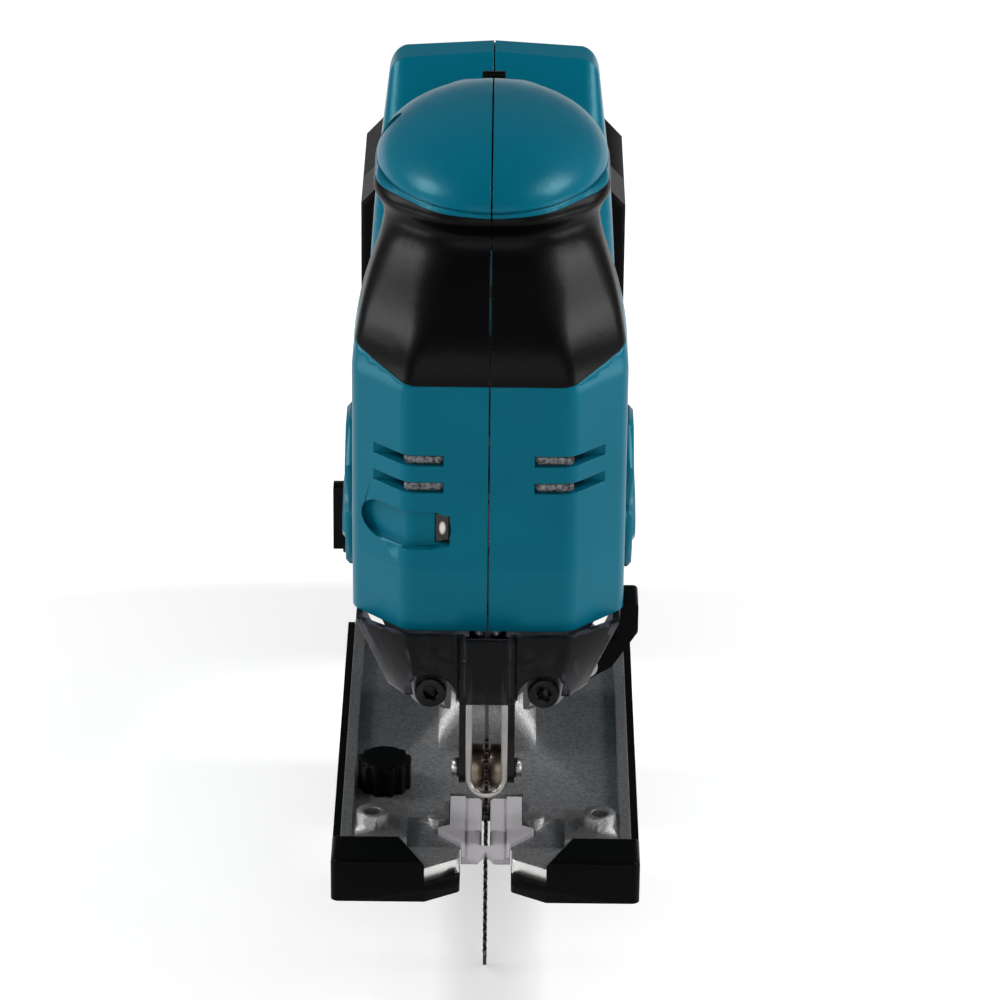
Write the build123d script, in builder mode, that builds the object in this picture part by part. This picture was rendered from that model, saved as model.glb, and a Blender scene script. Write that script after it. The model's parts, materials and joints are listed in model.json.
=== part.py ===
from build123d import *
from math import atan, cos, pi, radians, sin, sqrt
import os

os.makedirs("parts", exist_ok=True)

# Sizes in millimetres. X points to the tool's left, Y from the nose to the battery, Z up.
# The origin lies on the sole, at the middle of its length and width.
base_length = 140.0
base_width = 77.0
front = -base_length / 2

# Fits between pieces
run_gap = 0.06
seat_gap = 0.2
free_gap = 0.4

# Housing
wall = 4.0
rubber = 1.6
seam = 0.2
head_half = 33.5
head_nose = 8.0
head_tail = 62.0
head_bevel = 13.4
head_bottom = 70.0
head_crease = 88.0
head_lean = 3.0
head_soft = 6.0
neck_bottom = 134.0
rim_level = 171.8
dome_half = 28.8
dome_long = 41.0
dome_high = 14.6
dome_mid = 69.0
handle_half = 19.5
handle_round = 14.0
barrel_half = 31.5
barrel_bottom = 58.0
barrel_top = 118.0
barrel_nose = 46.0
barrel_tail = 150.0
barrel_round = 18.0
mount_face = 188.0
mount_wall = 13.0
mount_top = 160.2
mount_slope = 1.7
mount_corner = 5.4

# Drive
gear_module = 0.75
pinion_teeth = 12
gear_teeth = 48
gear_level = 110.0
crank = 11.5
plunger_place = 22.0
plunger_radius = 4.5
gear_front = 31.0
gear_width = 7.0
shaft_radius = 4.0
plate_front = 40.0
plate_depth = 6.0

# Base
sole_thick = 2.0
plate_thick = 4.0
bevel_level = 6.2
ridge_radius = 15.0


def behind(distance):
    """Y of a point this far behind the nose edge of the base."""
    return front + distance


def save(part, name):
    """Label a finished piece and write it out."""
    part.label = name
    export_step(part, "parts/" + name + ".step")


# Housing forms, each made smaller all round by an inset


def head_outline(inset, lean):
    half = head_half - inset
    nose = behind(head_nose + lean + inset)
    tail = behind(head_tail - inset)
    cut = head_bevel - inset * (2 - sqrt(2))
    return [
        (-half + cut, nose),
        (half - cut, nose),
        (half, nose + cut),
        (half, tail - cut),
        (half - cut, tail),
        (-half + cut, tail),
        (-half, tail - cut),
        (-half, nose + cut),
    ]


def head_corner(inset):
    return max(head_soft - inset, 1.0)


def head_form(inset):
    with BuildPart() as head:
        for level, lean in (
            (head_bottom + inset, head_lean),
            (head_crease, 0),
            (neck_bottom, 0),
        ):
            with BuildSketch(Plane.XY.offset(level)):
                with BuildLine():
                    FilletPolyline(head_outline(inset, lean), radius=head_corner(inset), close=True)
                make_face()
        loft(ruled=True)
    return head.part


# Level, half width, nose, tail, corner cuts and corner softness of the neck under the front knob
neck_sections = (
    (140.0, 33.0, 9.0, 62.5, 14.0, 14.0, 6.0),
    (148.0, 31.4, 14.0, 65.0, 14.5, 15.0, 9.0),
    (155.0, 29.0, 22.5, 69.0, 14.5, 14.5, 14.0),
    (161.5, 26.7, 30.0, 75.0, 14.0, 13.2, 17.0),
    (167.0, 27.2, 31.0, 88.0, 15.5, 15.0, 20.0),
    (rim_level + 1.0, 28.0, 29.2, 106.0, 16.5, 22.5, 19.0),
)


def neck_outline(half, nose, tail, cut_x, cut_y):
    low = behind(nose)
    high = behind(tail)
    return [
        (-half + cut_x, low),
        (half - cut_x, low),
        (half, low + cut_y),
        (half, high - cut_y),
        (half - cut_x, high),
        (-half + cut_x, high),
        (-half, high - cut_y),
        (-half, low + cut_y),
    ]


def neck_form(inset):
    trim = inset * (2 - sqrt(2))
    with BuildPart() as neck:
        with BuildSketch(Plane.XY.offset(neck_bottom)):
            with BuildLine():
                FilletPolyline(head_outline(inset, 0), radius=head_corner(inset), close=True)
            make_face()
        for level, half, nose, tail, cut_x, cut_y, soft in neck_sections:
            outline = neck_outline(half - inset, nose + inset, tail - inset, cut_x - trim, cut_y - trim)
            with BuildSketch(Plane.XY.offset(level)):
                with BuildLine():
                    FilletPolyline(outline, radius=soft - inset, close=True)
                make_face()
        loft()
    return neck.part


def dome_form(inset):
    half = dome_half - inset
    with BuildPart() as dome:
        Sphere(half, arc_size1=0, align=(Align.CENTER, Align.CENTER, Align.MIN))
        scale(by=(1, (dome_long - inset) / half, (dome_high - inset) / half))
    return dome.part.moved(Location((0, behind(dome_mid), rim_level)))


handle_sections = (
    (60.0, 152.0, 178.0),
    (84.0, 150.0, 182.0),
    (105.0, 146.5, 178.0),
    (130.0, 140.5, 170.2),
    (154.0, 133.5, 160.5),
    (178.0, 125.0, 150.0),
)


def handle_form(inset):
    with BuildPart() as handle:
        for place, low, high in handle_sections:
            with BuildSketch(Plane.XZ.offset(-behind(place))):
                with Locations((0, (low + high) / 2)):
                    RectangleRounded(
                        2 * (handle_half - inset),
                        high - low - 2 * inset,
                        min(handle_round, (high - low) / 2 - 0.5) - inset,
                    )
        loft()
    return handle.part


def barrel_form(inset):
    high = barrel_top - barrel_bottom - 2 * inset
    with BuildPart() as barrel:
        with BuildSketch(Plane.XZ.offset(-behind(barrel_nose + inset))):
            with Locations((0, (barrel_top + barrel_bottom) / 2)):
                RectangleRounded(2 * (barrel_half - inset), high, barrel_round - inset)
        extrude(amount=-(barrel_tail - barrel_nose - inset))
    return barrel.part


# Level, half width, nose and corner of the battery mount
mount_sections = (
    (barrel_bottom, 30.0, 130.0, 10.0),
    (95.0, 33.0, 136.0, 10.0),
    (135.0, 30.6, 152.0, 8.0),
    (148.0, 29.0, 166.0, 6.0),
    (mount_top, 27.7, 179.0, 4.2),
)


def mount_form(inset):
    peak = mount_top - inset
    half_top = mount_sections[-1][1] - inset
    eave = peak - mount_slope * half_top / 28
    roof = [(half_top + 8, barrel_bottom), (half_top + 8, 112), (half_top + 1.3, 148), (half_top, eave)]
    roof = roof + [(0, peak)] + [(-x, z) for x, z in reversed(roof)]
    with BuildPart() as block:
        for level, half, nose, corner in mount_sections:
            level = max(level, barrel_bottom + inset)
            with BuildSketch(Plane.XY.offset(level)):
                low = behind(nose + inset)
                high = behind(mount_face)
                with Locations((0, (low + high) / 2)):
                    RectangleRounded(2 * (half - inset), high - low, corner - inset)
        loft()
        with BuildSketch(Plane.XZ.offset(-behind(100))):
            with BuildLine():
                FilletPolyline(roof, radius=mount_corner - inset, close=True)
            make_face()
        extrude(amount=-120, mode=Mode.INTERSECT)
    return block.part


def mount_hollow(inset):
    """Room inside the battery mount, in front of the wall that carries the rails."""
    with BuildPart() as room:
        for level, half, nose, corner in mount_sections[:3]:
            level = max(level, barrel_bottom + inset)
            with BuildSketch(Plane.XY.offset(level)):
                low = behind(nose + inset)
                high = behind(mount_face - mount_wall)
                with Locations((0, (low + high) / 2)):
                    RectangleRounded(2 * (half - inset), high - low, corner - inset)
        loft(ruled=True)
    return room.part


def pad_form(nose, tail, low, high, reach):
    """Raised lozenge on both sides of the motor barrel."""
    with BuildPart() as pad:
        for side in (-1, 1):
            with BuildSketch(Plane.YZ.offset(side * (barrel_half - 6))):
                with BuildLine():
                    Polyline(
                        (behind(nose + 4), low),
                        (behind(tail - 14), low),
                        (behind(tail), (low + high) / 2),
                        (behind(tail - 6), high),
                        (behind(nose + 10), high),
                        (behind(nose), low + 0.65 * (high - low)),
                        (behind(nose), low + 0.25 * (high - low)),
                        close=True,
                    )
                make_face()
            extrude(amount=side * (reach - barrel_half + 6))
        outer = pad.faces().filter_by(Axis.X).sort_by(Axis.X)
        chamfer(outer[0].edges() + outer[-1].edges(), 1.0)
    return pad.part


def whole_form(inset):
    with BuildPart() as form:
        add(head_form(inset))
        add(neck_form(inset))
        add(dome_form(inset))
        add(barrel_form(inset))
        add(mount_hollow(inset) if inset >= wall else mount_form(inset))
        add(handle_form(inset))
    return form.part


outer = whole_form(0)
skin = whole_form(rubber)
inner = whole_form(wall)
motor_level = gear_level - gear_module * (pinion_teeth + gear_teeth) / 2

# Housing: shell, ribs, bosses, openings

stator_radius = 24.0
stator_front = 64.0
stator_length = 30.0
bearing_radius = 9.0
bearing_width = 7.0
rear_bearing_place = 102.0
screw_places = (
    (36.0, 136.5),
    (52.0, 143.0),
    (76.0, 177.0),
    (151.0, 148.0),
    (162.0, 72.0),
    (118.0, 66.5),
)
screw_radius = 1.5
screw_head = 3.2
screw_seat = -8.0
screw_reach = 12.0
boss_radius = 4.0
vent_levels = (117.1, 110.0)
vent_high = 2.8
vent_inner = 11.0
vent_outer = 28.0
vent_back = 16.0
lamp_level = 98.5
lamp_x = -11.2
lamp_wide = 3.2
lamp_high = 7.5
scoop_depth = 2.0
orbit_place = 56.0
orbit_level = 80.0
orbit_radius = 9.5
orbit_face = -34.2
trigger_half = 7.0
trigger_front = 93.0
trigger_back = 115.0
lock_place = 121.5
lock_level = 158.5
lock_radius = 4.0
dial_place = 138.0
dial_level = 160.0
dial_radius = 9.0
dial_half = 3.0
dial_axle = 1.5
board_place = 123.0
board_thick = 1.6
rail_front = 179.0
rail_lip = 184.0
rail_top = 114.0
rail_bottom = 40.0
terminal_level = 92.0
rail_half = 24.4
rail_neck = 18.4

with BuildPart() as grip_zone:
    with BuildSketch(Plane.YZ):
        with BuildLine():
            Polyline(
                (behind(-8), 136.5 - 16 * 0.308),
                (behind(70), 136.5 + 62 * 0.308),
                (behind(84), 140),
                (behind(140), 131),
                (behind(140), 157.2),
                (behind(104), 168),
                (behind(88), rim_level),
                (behind(-8), rim_level),
                close=True,
            )
        make_face()
    extrude(amount=50, both=True)

with BuildPart() as grip:
    add(outer)
    add(grip_zone.part, mode=Mode.INTERSECT)
    add(skin, mode=Mode.SUBTRACT)

with BuildPart() as ribs:
    for place, thick, bore in (
        (stator_front + 2, 3.0, stator_radius + seat_gap),
        (stator_front + stator_length - 5, 3.0, stator_radius + seat_gap),
        (rear_bearing_place + 1, bearing_width - 2, bearing_radius + run_gap),
    ):
        with BuildSketch(Plane.XZ.offset(-behind(place))) as web:
            with Locations((0, (barrel_top + barrel_bottom) / 2)):
                Rectangle(2 * barrel_half, barrel_top - barrel_bottom)
            with Locations((0, motor_level)):
                Circle(bore, mode=Mode.SUBTRACT)
        extrude(amount=-thick)
    with BuildSketch(Plane.XZ.offset(-behind(board_place + board_thick + 0.1))):
        with Locations((0, (barrel_top + barrel_bottom) / 2)):
            Rectangle(2 * barrel_half, barrel_top - barrel_bottom)
            Rectangle(36, 36, mode=Mode.SUBTRACT)
    extrude(amount=-2.4)
    for place, level in screw_places:
        with BuildSketch(Plane.YZ):
            with Locations((behind(place), level)):
                Circle(boss_radius)
        extrude(amount=60, both=True)
    for side in (-1, 1):
        with BuildSketch(Plane.YZ.offset(side * (dial_half + 0.8))):
            with Locations((behind(dial_place), dial_level)):
                Circle(dial_axle + 2)
        extrude(amount=side * 40)
    add(outer, mode=Mode.INTERSECT)

with BuildPart() as cuts:
    # Screw wells from the right side
    for place, level in screw_places:
        with BuildSketch(Plane.YZ):
            with Locations((behind(place), level)):
                Circle(screw_radius + run_gap)
        extrude(amount=screw_reach + 1)
        with BuildSketch(Plane.YZ):
            with Locations((behind(place), level)):
                Circle(screw_radius + 0.3)
        extrude(amount=screw_seat)
        with BuildSketch(Plane.YZ.offset(screw_seat)):
            with Locations((behind(place), level)):
                Circle(screw_head + 0.3)
        extrude(amount=-40)
    # Nose vents
    for side in (-1, 1):
        for level in vent_levels:
            with Locations((side * (vent_inner + vent_outer) / 2, behind(vent_back - 10), level)):
                Box(vent_outer - vent_inner, 20, vent_high)
    # Work-light window
    with Locations((lamp_x, behind(head_nose), lamp_level)):
        Box(lamp_wide + 2 * seat_gap, 3 * wall, lamp_high + 2 * seat_gap)
    # Motor vents
    for side in (-1, 1):
        for slot in range(5):
            with Locations((side * 30, behind(108 + 4.6 * slot), motor_level)):
                Box(14, 2.2, 22 - abs(slot - 2) * 3)
    # Room for the gear housing under the nose
    with BuildSketch(Plane.XY.offset(head_bottom - 1)):
        with BuildLine():
            Polyline(
                (-16.2, behind(15.2)),
                (16.2, behind(15.2)),
                (24.6, behind(22.2)),
                (24.6, behind(barrel_nose + 0.1)),
                (-24.6, behind(barrel_nose + 0.1)),
                (-24.6, behind(22.2)),
                close=True,
            )
        make_face()
    extrude(amount=wall + 2)
    # Selector bore and seat
    with BuildSketch(Plane.YZ.offset(orbit_face)):
        with Locations((behind(orbit_place), orbit_level)):
            Circle(orbit_radius + free_gap)
    extrude(amount=-10)
    with BuildSketch(Plane.YZ.offset(-20)):
        with Locations((behind(orbit_place), orbit_level)):
            Circle(3 + run_gap)
    extrude(amount=-30)
    # Trigger slot, lock bore, dial slot and axle bores
    with Locations((0, behind((trigger_front + trigger_back) / 2), 147)):
        Box(2 * (trigger_half + free_gap), trigger_back - trigger_front + 2 * free_gap, 18)
    with BuildSketch(Plane.YZ):
        with Locations((behind(lock_place), lock_level)):
            Circle(lock_radius + run_gap)
    extrude(amount=40, both=True)
    with Locations((0, behind(dial_place), dial_level + 7)):
        Box(2 * (dial_half + 0.8), 2 * dial_radius + 1, 16)
    with BuildSketch(Plane.YZ):
        with Locations((behind(dial_place), dial_level)):
            Circle(dial_axle + run_gap)
    extrude(amount=9, both=True)
    # Battery rails and terminal window
    with Locations((0, behind((rail_front + rail_lip) / 2), (rail_top + rail_bottom) / 2)):
        Box(2 * rail_half, rail_lip - rail_front, rail_top - rail_bottom)
    with Locations((0, behind(rail_lip + 3), (rail_top + rail_bottom) / 2)):
        Box(2 * rail_neck, 8, rail_top - rail_bottom)
    with Locations((0, behind(rail_front - 4), terminal_level)):
        Box(30.4, 14, 26.4)

with BuildPart() as rim_line:
    add(dome_form(0))
    add(dome_form(0.5), mode=Mode.SUBTRACT)
    with Locations((0, behind(dome_mid), rim_level + 1.3)):
        Box(4 * dome_half, 4 * dome_long, 0.5, mode=Mode.INTERSECT)

with BuildPart() as extras:
    add(pad_form(30.0, 84.0, 77.0, 101.0, 35.5))
    add(pad_form(38.0, 73.0, 80.0, 92.5, 36.5))
    add(pad_form(30.0, 58.0, 92.0, 113.0, 35.6))
    with BuildSketch(Plane.YZ.offset(-barrel_half + 6)):
        with Locations((behind(orbit_place), orbit_level)):
            Circle(orbit_radius + 2)
    extrude(amount=orbit_face + barrel_half - 6)

with BuildPart() as shell:
    add(outer)
    add(extras.part)
    add(inner, mode=Mode.SUBTRACT)
    add(ribs.part)
    add([grip.part, cuts.part, rim_line.part], mode=Mode.SUBTRACT)

with BuildPart() as scoop:
    with BuildSketch(Plane.XZ.offset(-behind(0))):
        with Locations((-20, lamp_level)):
            SlotOverall(22, 10)
    extrude(amount=-30)
    add(head_form(scoop_depth), mode=Mode.SUBTRACT)

with BuildPart() as housing_left:
    add(shell.part)
    split(bisect_by=Plane.YZ.offset(seam), keep=Keep.TOP)

with BuildPart() as housing_right:
    add(shell.part)
    add(scoop.part, mode=Mode.SUBTRACT)
    split(bisect_by=Plane.YZ.offset(-seam), keep=Keep.BOTTOM)

with BuildPart() as grip_left:
    add(grip.part)
    add(cuts.part, mode=Mode.SUBTRACT)
    split(bisect_by=Plane.YZ.offset(seam / 2), keep=Keep.TOP)

with BuildPart() as grip_right:
    add(grip.part)
    add(cuts.part, mode=Mode.SUBTRACT)
    split(bisect_by=Plane.YZ.offset(-seam / 2), keep=Keep.BOTTOM)

save(housing_left.part, "housing_left")
save(housing_right.part, "housing_right")
save(grip_left.part, "grip_left")
save(grip_right.part, "grip_right")

# Gear housing, seen below the nose

pocket_half = 9.0
clamp_radius = 6.0
clamp_bottom = 52.0
clamp_top = 65.0
passage_radius = clamp_radius + 1.5
bush_bottom = clamp_top + crank + 0.5
yoke_pin = 3.5
yoke_slack = 0.211 * crank + 0.35
yoke_wall = 3.0
yoke_half_high = yoke_pin + yoke_slack + yoke_wall
yoke_half_wide = crank + yoke_pin + free_gap + 3.6
yoke_half_deep = 3.5
bush_top = gear_level - crank - yoke_half_high - 0.4
bush_radius = 6.2
cheek_inner = yoke_half_wide + free_gap
cheek_outer = 24.4
cheek_front = 22.4
block_front = head_nose + head_lean + wall + 0.4
plate_half = head_half - wall - seat_gap
spindle_radius = 4.0
holder_pivot_place = 38.0
holder_pivot_level = 60.0
holder_pin = 2.5
snout_front = 16.0
snout_bottom = 46.0
snout_top = head_bottom
snout_half_top = 27.0
snout_half_bottom = 16.0
snout_back = barrel_nose - 0.3
boss_x = 14.0
boss_level = 52.0
foot_front = 72.0
foot_back = 106.0
foot_half = 14.0
foot_span = 27.0
foot_radius = ridge_radius + 0.2
spine_top = barrel_bottom - 0.3
spine_bottom = 44.0
bolt_place = 89.0
bolt_radius = 2.5
lever_x = 24.5
lever_level = 52.5
lever_pin = 2.0
wire_radius = 0.8
wire_half = 4.4
wire_bottom = 24.0
wire_place = 12.0
wire_anchor = 13.0

foot_edge_x = foot_radius * sin(radians(foot_span))
foot_edge_z = bevel_level + foot_radius * cos(radians(foot_span))

with BuildPart() as gear_housing:
    # Snout below the nose
    with BuildSketch(Plane.XZ.offset(-behind(snout_front))):
        with BuildLine():
            Polyline(
                (-snout_half_bottom, snout_bottom),
                (snout_half_bottom, snout_bottom),
                (snout_half_top, snout_top - 0.2),
                (-snout_half_top, snout_top - 0.2),
                close=True,
            )
        make_face()
    extrude(amount=-(snout_back - snout_front))
    nose_face = gear_housing.faces().sort_by(Axis.Y)[0]
    chamfer([e for e in nose_face.edges() if e.bounding_box().size.Z > 5], 5)
    for side in (-1, 1):
        with BuildSketch(Plane.XZ.offset(-behind(snout_front))):
            with Locations((side * boss_x, boss_level)):
                Circle(5.5)
        extrude(amount=-14)
    # Block that carries the plunger bush, inside the nose
    with BuildSketch(Plane.XY.offset(snout_top - 0.2)):
        with BuildLine():
            Polyline(
                (-16, behind(block_front)),
                (16, behind(block_front)),
                (cheek_outer, behind(cheek_front)),
                (cheek_outer, behind(28.5)),
                (-cheek_outer, behind(28.5)),
                (-cheek_outer, behind(cheek_front)),
                close=True,
            )
        make_face()
    extrude(amount=bush_top - snout_top + 0.2)
    # Cheeks beside the yoke and plate behind the gear
    for side in (-1, 1):
        cheek_middle = (cheek_front + plate_front) / 2 + 0.5
        with Locations((side * (cheek_inner + cheek_outer) / 2, behind(cheek_middle), 99)):
            Box(cheek_outer - cheek_inner, plate_front - cheek_front + 1, 58)
    with Locations((0, behind(plate_front + plate_depth / 2), 101)):
        Box(2 * cheek_outer, plate_depth, 62.4)
    with Locations((0, behind(plate_front + plate_depth / 2), 101)):
        Box(2 * plate_half, plate_depth, 50)
    # Spine and foot over the base
    with Locations((0, behind((40 + foot_back) / 2), (spine_bottom + spine_top) / 2)):
        Box(2 * foot_half, foot_back - 40, spine_top - spine_bottom)
    with BuildSketch(Plane.XZ.offset(-behind(foot_front))):
        with BuildLine():
            Polyline(
                (foot_edge_x, foot_edge_z),
                (foot_half, foot_edge_z + foot_half - foot_edge_x),
                (foot_half, spine_bottom + 1),
                (-foot_half, spine_bottom + 1),
                (-foot_half, foot_edge_z + foot_half - foot_edge_x),
                (-foot_edge_x, foot_edge_z),
            )
            RadiusArc((foot_edge_x, foot_edge_z), (-foot_edge_x, foot_edge_z), -foot_radius)
        make_face()
    extrude(amount=-(foot_back - foot_front))
    # Ear for the lever pin on the left side
    with BuildSketch(Plane.XZ.offset(-behind(39.4))):
        with Locations((lever_x, lever_level)):
            Circle(4)
        with Locations((lever_x - 4, lever_level)):
            Rectangle(8, 8)
    extrude(amount=-4.6)
    # Bores
    with Locations((0, behind((snout_front - 1 + 44) / 2), snout_bottom + 10 - 3)):
        Box(2 * pocket_half, 44 - snout_front + 1, 26, mode=Mode.SUBTRACT)
    with BuildSketch(Plane.XY.offset(snout_bottom - 3)):
        with Locations((0, behind(plunger_place))):
            Circle(passage_radius)
    extrude(amount=bush_bottom - snout_bottom + 3, mode=Mode.SUBTRACT)
    with BuildSketch(Plane.XY.offset(bush_bottom)):
        with Locations((0, behind(plunger_place))):
            Circle(bush_radius + 0.02)
    extrude(amount=40, mode=Mode.SUBTRACT)
    with BuildSketch(Plane.XZ.offset(-behind(plate_front - 5))):
        with Locations((0, motor_level)):
            Circle(bearing_radius + 0.02)
        with Locations((0, gear_level)):
            Circle(spindle_radius + 0.02)
    extrude(amount=-(plate_depth + 10), mode=Mode.SUBTRACT)
    with BuildSketch(Plane.YZ):
        with Locations((behind(holder_pivot_place), holder_pivot_level)):
            Circle(holder_pin + 0.02)
    extrude(amount=14, both=True, mode=Mode.SUBTRACT)
    for side in (-1, 1):
        with BuildSketch(Plane.XZ.offset(-behind(snout_front - 1))):
            with Locations((side * boss_x, boss_level)):
                Circle(2.02)
        extrude(amount=-13, mode=Mode.SUBTRACT)
        with BuildSketch(Plane.XZ.offset(-behind(snout_front - 1))):
            with Locations((side * wire_anchor, 62)):
                Circle(wire_radius + 0.03)
        extrude(amount=-6, mode=Mode.SUBTRACT)
    with BuildSketch(Plane.XZ.offset(-behind(36))):
        with Locations((lever_x, lever_level)):
            Circle(lever_pin + 0.02)
    extrude(amount=-12, mode=Mode.SUBTRACT)
    with BuildSketch(Plane.XY.offset(10)):
        with Locations((0, behind(bolt_place))):
            Circle(bolt_radius + 0.03)
    extrude(amount=24, mode=Mode.SUBTRACT)
save(gear_housing.part, "gear_housing")

# Motor

with BuildPart() as stator:
    with BuildSketch(Plane.XZ.offset(-behind(stator_front))):
        with Locations((0, motor_level)):
            Circle(stator_radius)
            Circle(stator_radius - 3.5, mode=Mode.SUBTRACT)
            with PolarLocations(stator_radius - 6.5, 6):
                Rectangle(7.5, 4.5)
            Circle(13.8, mode=Mode.SUBTRACT)
    extrude(amount=-stator_length)
save(stator.part, "motor_stator")

with BuildPart() as coils:
    for place, long in ((stator_front - 2.4, 2.3), (stator_front + stator_length + 0.1, 2.3)):
        with BuildSketch(Plane.XZ.offset(-behind(place))):
            with Locations((0, motor_level)):
                with PolarLocations(stator_radius - 6.5, 6):
                    RectangleRounded(6.5, 9.5, 2)
        extrude(amount=-long)
save(coils.part, "motor_coils")

rotor_radius = 13.0
fan_place = 51.0
fan_radius = 21.5
shaft_end = rear_bearing_place + bearing_width + 1.5

with BuildPart() as motor_shaft:
    with BuildSketch(Plane.XZ.offset(-behind(plate_front + 0.0))):
        with Locations((0, motor_level)):
            Circle(shaft_radius)
    extrude(amount=-(shaft_end - plate_front))
save(motor_shaft.part, "motor_shaft")

with BuildPart() as rotor_core:
    with BuildSketch(Plane.XZ.offset(-behind(stator_front))):
        with Locations((0, motor_level)):
            Circle(rotor_radius)
            Circle(shaft_radius + 0.01, mode=Mode.SUBTRACT)
    extrude(amount=-stator_length)
save(rotor_core.part, "rotor_core")

with BuildPart() as fan:
    with BuildSketch(Plane.XZ.offset(-behind(fan_place))):
        with Locations((0, motor_level)):
            Circle(fan_radius)
            Circle(shaft_radius + 0.01, mode=Mode.SUBTRACT)
    extrude(amount=-1.6)
    with BuildSketch(Plane.XZ.offset(-behind(fan_place + 1.6))):
        with Locations((0, motor_level)):
            Circle(7)
            with PolarLocations(14.5, 11):
                Rectangle(12.5, 1.2, rotation=24)
            Circle(shaft_radius + 0.01, mode=Mode.SUBTRACT)
    extrude(amount=-6)
save(fan.part, "motor_fan")

with BuildPart() as bearings:
    for place in (plate_front, rear_bearing_place):
        with BuildSketch(Plane.XZ.offset(-behind(place))):
            with Locations((0, motor_level)):
                Circle(bearing_radius)
                Circle(shaft_radius + run_gap, mode=Mode.SUBTRACT)
        extrude(amount=-bearing_width)
save(bearings.part, "motor_bearings")


# Gears with involute flanks, each flank an arc through three involute points


def tooth_points(teeth, backlash):
    pitch = gear_module * teeth / 2
    root = pitch - 1.0 * gear_module
    tip = pitch + 0.75 * gear_module
    base = pitch * cos(radians(20))
    half = pi / (2 * teeth) - backlash / (2 * pitch)
    at_pitch = sqrt((pitch / base) ** 2 - 1) - radians(20)

    def flank(radius):
        roll = sqrt(max((radius / base) ** 2 - 1, 0))
        return half + at_pitch - (roll - atan(roll))

    low = max(base, root)
    mid = (low + tip) / 2
    return root, tip, [(low, flank(low)), (mid, flank(mid)), (tip, flank(tip))]


def gear_wire(teeth, backlash, turn):
    """Points of every tooth: root, three flank points, then the mirrored three."""
    root, tip, flank = tooth_points(teeth, backlash)
    step = 2 * pi / teeth
    rows = []
    for tooth in range(teeth):
        mid = turn + tooth * step
        left = [(r * cos(mid - a), r * sin(mid - a)) for r, a in flank]
        right = [(r * cos(mid + a), r * sin(mid + a)) for r, a in reversed(flank)]
        a = flank[0][1]
        foot_in = (root * cos(mid - a), root * sin(mid - a))
        foot_out = (root * cos(mid + a), root * sin(mid + a))
        rows.append((foot_in, left, right, foot_out))
    return rows


def gear_face(rows):
    edges = []
    for index, (foot_in, left, right, foot_out) in enumerate(rows):
        following = rows[(index + 1) % len(rows)][0]
        if (Vector(foot_in) - Vector(left[0])).length > 0.01:
            edges.append(Edge.make_line(foot_in, left[0]))
            edges.append(Edge.make_line(right[2], foot_out))
        edges.append(Edge.make_three_point_arc(*left))
        edges.append(Edge.make_line(left[2], right[0]))
        edges.append(Edge.make_three_point_arc(*right))
        edges.append(Edge.make_line(foot_out, following))
    return Face(Wire(edges))


tooth_play = 0.14
pinion_face = gear_face(gear_wire(pinion_teeth, tooth_play, pi / 2 + pi / pinion_teeth))
wheel_face = gear_face(gear_wire(gear_teeth, tooth_play, 0))
pinion_front = gear_front - 1.0

with BuildPart() as pinion:
    with BuildSketch(Plane.XZ.offset(-behind(pinion_front))):
        with Locations((0, motor_level)):
            add(pinion_face)
    extrude(amount=-(plate_front - pinion_front))
save(pinion.part, "pinion")

with BuildPart() as drive_gear:
    with BuildSketch(Plane.XZ.offset(-behind(gear_front))):
        with Locations((0, gear_level)):
            add(wheel_face)
            Circle(spindle_radius + run_gap, mode=Mode.SUBTRACT)
            with PolarLocations(crank, 5, start_angle=60, angular_range=240):
                Circle(2.6, mode=Mode.SUBTRACT)
    extrude(amount=-gear_width)
save(drive_gear.part, "drive_gear")

with BuildPart() as crank_pin:
    with BuildSketch(Plane.XZ.offset(-behind(plunger_place - 2))):
        with Locations((crank, gear_level)):
            Circle(yoke_pin)
    extrude(amount=-(gear_front - plunger_place + 2))
save(crank_pin.part, "crank_pin")

with BuildPart() as spindle:
    with BuildSketch(Plane.XZ.offset(-behind(gear_front - 1.6))):
        with Locations((0, gear_level)):
            Circle(spindle_radius + 2)
    extrude(amount=-1.5)
    with BuildSketch(Plane.XZ.offset(-behind(gear_front - 0.1))):
        with Locations((0, gear_level)):
            Circle(spindle_radius)
    extrude(amount=-(plate_front + plate_depth - gear_front + 0.1))
    with BuildSketch(Plane.XZ.offset(-behind(gear_front + gear_width + 0.1))):
        with Locations((0, gear_level)):
            Circle(spindle_radius + 2)
    extrude(amount=-(plate_front - gear_front - gear_width - 0.1))
save(spindle.part, "gear_spindle")

# Plunger, clamp and blade

with BuildPart() as plunger:
    with BuildSketch(Plane.XY.offset(clamp_top)):
        with Locations((0, behind(plunger_place))):
            Circle(plunger_radius)
    extrude(amount=gear_level - yoke_half_high - clamp_top + 1)
    with Locations((0, behind(plunger_place), gear_level)):
        Box(2 * yoke_half_wide, 2 * yoke_half_deep, 2 * yoke_half_high)
        Box(
            2 * (yoke_half_wide - 3.6),
            2 * yoke_half_deep + 2,
            2 * (yoke_half_high - yoke_wall),
            mode=Mode.SUBTRACT,
        )
save(plunger.part, "plunger")

with BuildPart() as bush:
    with BuildSketch(Plane.XY.offset(bush_bottom)):
        with Locations((0, behind(plunger_place))):
            Circle(bush_radius)
            Circle(plunger_radius + run_gap, mode=Mode.SUBTRACT)
    extrude(amount=bush_top - bush_bottom)
save(bush.part, "plunger_bush")

blade_half = 0.45
blade_front = 17.5
blade_back = 25.0
blade_tip = -31.5
tooth_pitch = 3.0
tooth_deep = 1.9
shank_top = clamp_top - 1.5

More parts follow.
